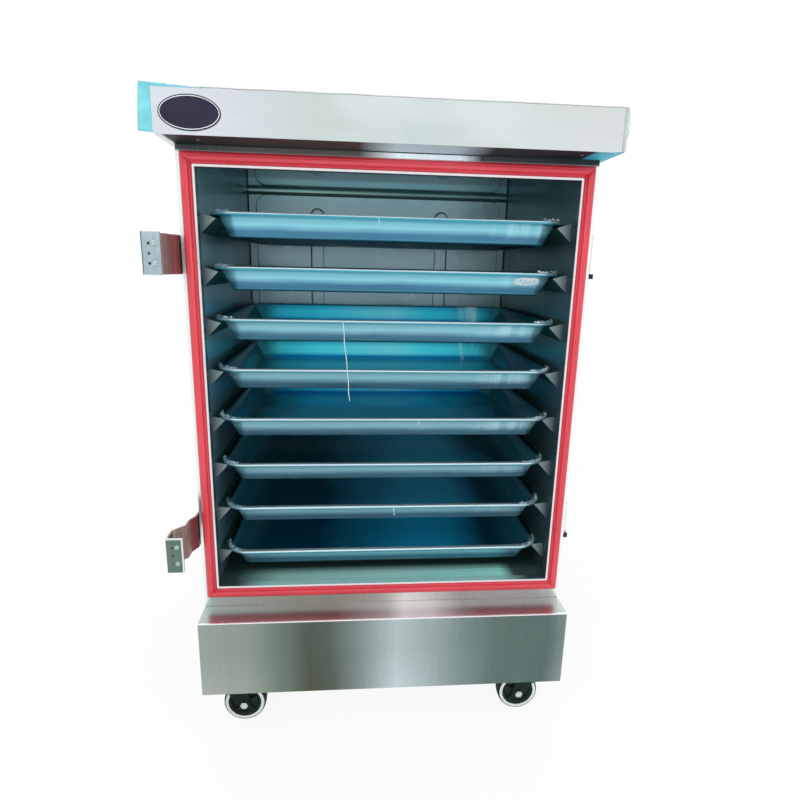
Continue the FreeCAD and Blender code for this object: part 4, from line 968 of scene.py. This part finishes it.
# Seams and painted shadow: dark strips painted as shadow lines round the back panel and columns and in the
# chamber's corners, and seam lines on the front
def outline_strip(name, points, width, y, material, closed=False):
    """Flat strip of even width along a path in a plane of constant y."""
    thickness = 0.0005
    count = len(points)
    verts = []
    for i, (x, z) in enumerate(points):
        before = points[(i - 1) % count] if closed or i > 0 else (x, z)
        after = points[(i + 1) % count] if closed or i < count - 1 else (x, z)
        run = Vector((after[0] - before[0], after[1] - before[1])).normalized()
        side = Vector((-run.y, run.x)) * width / 2
        for sx, dy in ((1, 0), (1, -thickness), (-1, -thickness), (-1, 0)):
            verts.append((x + side.x * sx, y + dy, z + side.y * sx))
    faces = grid_faces(count, 4, wrap_rows=closed, wrap_cols=True)
    if not closed:
        faces += [(3, 2, 1, 0), tuple(range(4 * count - 4, 4 * count))]
    new_object(name, mesh_from(name, verts, faces, False), material, "cabinet")


def round_top(half, bottom, top, radius, steps=10):
    points = [(-half, bottom), (half, bottom)]
    for centre, start in ((half - radius, 0), (radius - half, 90)):
        for i in range(steps + 1):
            t = math.radians(start + 90 * i / steps)
            points.append((centre + radius * math.cos(t), top - radius + radius * math.sin(t)))
    return points


def chamber_shadow_lines():
    # Dark strips painted as shadow lines round the back panel, beside the columns and in the chamber's
    # corners
    outline = round_top(0.2910, 0.2985, 1.0240, 0.026)
    outline_strip("back_panel_shadow_line", outline, 0.0026, BACK_WALL, seam_and_shadow_dark, closed=True)
    for name, side in (("left", -1), ("right", 1)):
        column = round_top(0.0155, 0.300, 0.9950, 0.0155)[1:]
        column = [(side * (0.148 + x), z) for x, z in column]
        outline_strip(f"steam_column_shadow_line_{name}", column, 0.0026, DUCT_FRONT, seam_and_shadow_dark)
        corner = [(side * (CHAMBER_HALF - 0.0012), z) for z in (0.289, 0.66, CHAMBER_CEILING - 0.001)]
        outline_strip(f"chamber_corner_shadow_line_{name}", corner, 0.0024, BACK_WALL, seam_and_shadow_dark)


def front_seam(name, z, width, material):
    line = [(x, z) for x in (-0.331, 0, 0.331)]
    outline_strip(name, line, width, FRONT, material)


chamber_shadow_lines()
front_seam("canopy_seam", CANOPY_BOTTOM - 0.0008, 0.0014, seam_and_shadow_dark)
front_seam("ledge_seam", PLINTH_LEDGE + 0.0004, 0.0007, film_edge)


# Torn protective film
def sheet_piece(name, point, rows, cols, material, body, lift, seed):
    """Thin wrinkled sheet; point(u, v) gives its place, and noise lifts it a little."""
    offset = Vector((seed * 3.1, seed * 1.7, seed * 0.9))
    verts = []
    for r in range(rows):
        for c in range(cols):
            u, v = c / (cols - 1), r / (rows - 1)
            wrinkle = abs(noise.noise(Vector((u * 7, v * 5, 0)) + offset)) * lift
            verts.append(Vector(point(u, v)) - Vector((0, wrinkle, 0)))
    obj = new_object(name, mesh_from(name, verts, grid_faces(rows, cols)), material, body)
    obj.modifiers.new("film", "SOLIDIFY").thickness = 0.00015


def canopy_film():
    def flap(u, v):
        bow = 0.0025 * math.sin(v * 3.0) * (1 - u)
        x = -0.3572 + 0.0150 * u - 0.0052 * (1 - v) * (1 - u)
        return (x, CANOPY_FRONT - 0.0002 - bow, 1.0430 + 0.0620 * v - 0.0015 * u)

    def top_strip(u, v):
        rise = 0.0050 * max(0.0, 1 - u * 1.02) + 0.0006 * noise.noise(Vector((u * 12, 2, 0)))
        z = CANOPY_TOP - 0.0012 + (0.0006 + rise) * v
        return (-0.3572 + 0.086 * u, CANOPY_FRONT - 0.0004 + 0.0008 * v, z)

    def bulge(v):
        return 0.0040 * math.exp(-((v - 0.45) / 0.10) ** 2) + 0.0008 * math.sin(v * 11)

    def right_end(u, v):
        return (0.3385 + (0.0050 + bulge(v)) * u, CANOPY_FRONT - 0.0004, 1.0405 + 0.0610 * v)

    def end_line(u, v):
        return (0.3433 + bulge(v) + 0.0009 * u, CANOPY_FRONT - 0.0006, 1.0600 + 0.0415 * v)

    def top_line(u, v):
        wave = 0.0007 * noise.noise(Vector((u * 16, 4, 0)))
        return (-0.275 + 0.617 * u, CANOPY_FRONT - 0.0004, CANOPY_TOP - 0.0008 + wave + 0.0011 * v)

    sheet_piece("canopy_film_flap", flap, 16, 10, film_cyan, "cabinet", 0.0006, 3)
    sheet_piece("canopy_film_top", top_strip, 5, 30, film_cyan, "cabinet", 0.0006, 5)
    sheet_piece("canopy_film_end", right_end, 24, 6, film_pale, "cabinet", 0.0004, 7)
    sheet_piece("canopy_film_end_line", end_line, 24, 3, film_edge, "cabinet", 0.0001, 8)
    sheet_piece("canopy_film_top_line", top_line, 3, 90, film_edge, "cabinet", 0.0001, 9)


canopy_film()


def lip_film(index, name, path, seed):
    """Ruffled rag of film left on a stretch of a tray's lip."""
    rim, middle = RIM[index], TRAY_MIDDLE[index]

    def curl(u, v):
        k = u * (len(path) - 1)
        a, b = path[int(k)], path[min(int(k) + 1, len(path) - 1)]
        f = k - int(k)
        x, y = a[0] + (b[0] - a[0]) * f, a[1] + (b[1] - a[1]) * f
        ruffle = noise.noise(Vector((u * 14, v * 2, seed)))
        crinkle = abs(noise.noise(Vector((u * 46, v * 7, seed))))
        up = 0.0006 + (0.0050 * max(0.0, ruffle) + 0.0045 * crinkle) * math.sin(math.pi * v) + 0.001 * v
        inward = 1 - 0.020 * v
        return (x * inward, middle + y * inward, rim + up)

    sheet_piece(name, curl, 7, 90, film_curl, f"tray_{index + 1}", 0.0004, seed)


def tray_films():
    rng = random.Random(11)
    ring = rounded_ring(TRAY_HALF_X + 0.0003, TRAY_HALF_Y + 0.0003, TRAY_CORNER + 0.0003)
    tips = [(x, y) for x, y in ring if y < -0.150]
    left = [(x, y) for x, y in tips if x < -0.258]
    right = [(x, y) for x, y in tips if x > 0.252]
    for index in TRAYS:
        for side, path in (("left", left), ("right", right)):
            lip_film(index, f"tray_{index + 1}_film_{side}", path, rng.randint(1, 90))


tray_films()


def wall_patch(name, index, x0, x1, z0, z1, seed):
    """Wrinkled patch of film on a tray's front wall; z counts from the rim."""
    straight = TRAY_HALF_X - TRAY_CORNER - 0.002

    def place(u, v):
        x = x0 + (x1 - x0) * u
        outline = math.sqrt(max(0.0, 1 - (2 * u - 1) ** 4))
        z = (z0 + z1) / 2 + (z1 - z0) * (v - 0.5) * outline
        wall = TRAY_MIDDLE[index] - TRAY_HALF_Y + TRAY_LIP - TRAY_LEAN * z - 0.0008
        if abs(x) > straight:
            wall += (abs(x) - straight) ** 2 / 0.07
        fold = 0.0010 * math.sin(u * 38 + seed) * math.sin(math.pi * v)
        return (x, wall + fold, RIM[index] + z)

    sheet_piece(name, place, 8, 48, film_white, f"tray_{index + 1}", 0.0010, seed)


wall_patch("tray_2_wall_film", 1, 0.214, 0.262, -0.0225, -0.0080, 8)


def shred(index, x, length, sway, seed, width=0.0011):
    """Narrow shred of film hanging from a tray's lip."""
    front = TRAY_MIDDLE[index] - TRAY_HALF_Y

    def place(u, v):
        bend = sway * v + 0.0022 * noise.noise(Vector((v * 5, seed, 0)))
        y = front - 0.0012 - 0.0006 * math.sin(v * 7)
        return (x + bend + (u - 0.5) * width, y, RIM[index] - 0.0005 - length * v)

    name = f"tray_{index + 1}"
    sheet_piece(f"{name}_film_shred", place, 40, 3, film_white, name, 0.0001, seed)


shred(2, -0.0800, 0.140, 0.012, 4, 0.0013)
shred(0, -0.022, 0.016, 0.002, 6)
shred(4, 0.055, 0.010, -0.002, 9)
shred(6, 0.012, 0.018, 0.003, 12)


# Rivets and screws
def fasteners(name, places, normal, radius, height, material):
    """Low domed heads; each place is a point on the surface they sit on."""
    verts, faces = [], []
    n = Vector(normal)
    a = Vector((0, 0, 1)) if abs(n.z) < 0.5 else Vector((1, 0, 0))
    b = n.cross(a)
    sides = 20
    rings = [(1.0, 0.0), (0.98, 0.25), (0.85, 0.6), (0.55, 0.9), (0.2, 1.0)]
    dome = grid_faces(len(rings), sides, wrap_cols=True)
    dome.append(tuple(range((len(rings) - 1) * sides, len(rings) * sides)))
    dome.append(tuple(range(sides)))
    for place in places:
        base = len(verts)
        for width, rise in rings:
            for cosine, sine in around(sides):
                spoke = a * (radius * width * cosine) + b * (radius * width * sine)
                verts.append(Vector(place) + spoke + n * (height * rise))
        faces += [tuple(base + v for v in face) for face in dome]
    shade(new_object(name, mesh_from(name, verts, faces), material, "cabinet"), 50)


RIVETS = [(x, -0.297, CANOPY_BOTTOM) for x in (-0.2885, 0.2885)]
EDGE_X = (-0.318, 0.318)
REAR_SCREWS = [(x, REAR, z) for x in EDGE_X for z in (0.27, 0.46, 0.65, 0.84, 1.02)]
REAR_SCREWS += [(x, REAR, z) for x in (-0.16, 0.0, 0.16) for z in (0.27, 1.02)]
BASE_SCREWS = [(x, REAR, z) for x in EDGE_X for z in (0.125, 0.235)]
fasteners("canopy_rivets", RIVETS, (0, 0, -1), 0.0028, 0.0012, zinc)
fasteners("rear_panel_screws", REAR_SCREWS, (0, 1, 0), 0.0042, 0.0020, bolt_steel)
fasteners("base_rear_screws", BASE_SCREWS, (0, 1, 0), 0.0042, 0.0020, bolt_steel)


# Camera: placed and turned as fitted to the photo
def camera():
    cam = bpy.data.cameras.new("camera")
    cam.lens = 25.11
    cam.sensor_width = 36.0
    cam.sensor_fit = "HORIZONTAL"
    cam.clip_start = 0.02
    obj = bpy.data.objects.new("camera", cam)
    bpy.context.scene.collection.objects.link(obj)
    yaw, pitch, roll = 0.0856, 0.2351, 0.0229
    level = Vector((math.cos(yaw), -math.sin(yaw), 0))
    forward = Vector((math.sin(yaw) * math.cos(pitch), math.cos(yaw) * math.cos(pitch), -math.sin(pitch)))
    upright = level.cross(forward)
    right = level * math.cos(roll) + upright * math.sin(roll)
    up = upright * math.cos(roll) - level * math.sin(roll)
    place = Matrix((right, up, -forward)).transposed().to_4x4()
    place.translation = Vector((-0.0618, FRONT - 0.9335, 0.8669))
    obj.matrix_world = place
    bpy.context.scene.camera = obj


camera()


# Studio: soft even light, white where the camera or a mirror looks past the object
def white_world():
    world = bpy.data.worlds.new("studio")
    bpy.context.scene.world = world
    world.use_nodes = True
    tree = world.node_tree
    tree.nodes.clear()
    path = tree.nodes.new("ShaderNodeLightPath")
    seen = path.outputs["Is Camera Ray"]
    for ray in ("Is Glossy Ray", "Is Transmission Ray"):
        either = tree.nodes.new("ShaderNodeMath")
        either.operation = "MAXIMUM"
        tree.links.new(seen, either.inputs[0])
        tree.links.new(path.outputs[ray], either.inputs[1])
        seen = either.outputs[0]
    mix = tree.nodes.new("ShaderNodeMixShader")
    tree.links.new(seen, mix.inputs[0])
    for index, color, strength in ((1, (0.95, 0.98, 1.0, 1), 0.55), (2, (1, 1, 1, 1), 1.0)):
        light = tree.nodes.new("ShaderNodeBackground")
        light.inputs["Color"].default_value = color
        light.inputs["Strength"].default_value = strength
        tree.links.new(light.outputs[0], mix.inputs[index])
    out = tree.nodes.new("ShaderNodeOutputWorld")
    tree.links.new(mix.outputs[0], out.inputs["Surface"])


def paper_floor():
    """Pale floor that keeps the shadow and turns white towards the horizon."""
    half = 6
    verts = [(-half, -half, 0), (half, -half, 0), (half, half, 0), (-half, half, 0)]
    mat = Mat("floor_paper", grey(0.93), rough=0.8)
    mat.color(mat.tones(mat.noise(3.0), grey(0.92), grey(0.94)))
    path = mat.t.nodes.new("ShaderNodeLightPath")
    glow = mat.t.nodes.new("ShaderNodeEmission")
    mix = mat.t.nodes.new("ShaderNodeMixShader")
    seen = mat.math("MAXIMUM", path.outputs["Is Camera Ray"], path.outputs["Is Glossy Ray"])
    far = mat.remap(mat.length(), 0.5, 2.4, 0.88, 1.0)
    mat.link(mat.times(seen, far), mix.inputs[0])
    mat.link(mat.bsdf.outputs[0], mix.inputs[1])
    mat.link(glow.outputs[0], mix.inputs[2])
    mat.link(mix.outputs[0], mat.t.nodes["Material Output"].inputs["Surface"])
    floor = bpy.data.objects.new("floor", mesh_from("floor", verts, [(0, 1, 2, 3)], smooth=False))
    bpy.context.scene.collection.objects.link(floor)
    floor.data.materials.append(mat.m)


def area(name, place, target_z, size, power, color=(1, 1, 1), mirrored=True):
    light = bpy.data.lights.new(name, "AREA")
    light.shape = "RECTANGLE"
    light.size, light.size_y = size
    light.energy = power
    light.color = color
    obj = bpy.data.objects.new(name, light)
    obj.location = place
    aim = Vector((0, 0, target_z)) - Vector(place)
    obj.rotation_euler = aim.to_track_quat("-Z", "Y").to_euler()
    bpy.context.scene.collection.objects.link(obj)
    obj.visible_glossy = mirrored


bpy.context.scene.view_settings.view_transform = "Standard"
white_world()
paper_floor()
area("key", (-1.6, -2.2, 2.4), 0.6, (1.6, 1.2), 22, mirrored=False)
area("fill", (2.2, -1.8, 1.5), 0.6, (1.6, 1.6), 12, (0.94, 0.98, 1.0), mirrored=False)
area("front", (0.0, -2.3, 0.95), 0.65, (1.2, 0.9), 20, (0.92, 0.98, 1.0), mirrored=False)
area("top", (0, 0.2, 3.0), 0, (2.4, 2.4), 18)
area("back", (0.4, 2.6, 1.8), 0.6, (2.0, 1.4), 9)
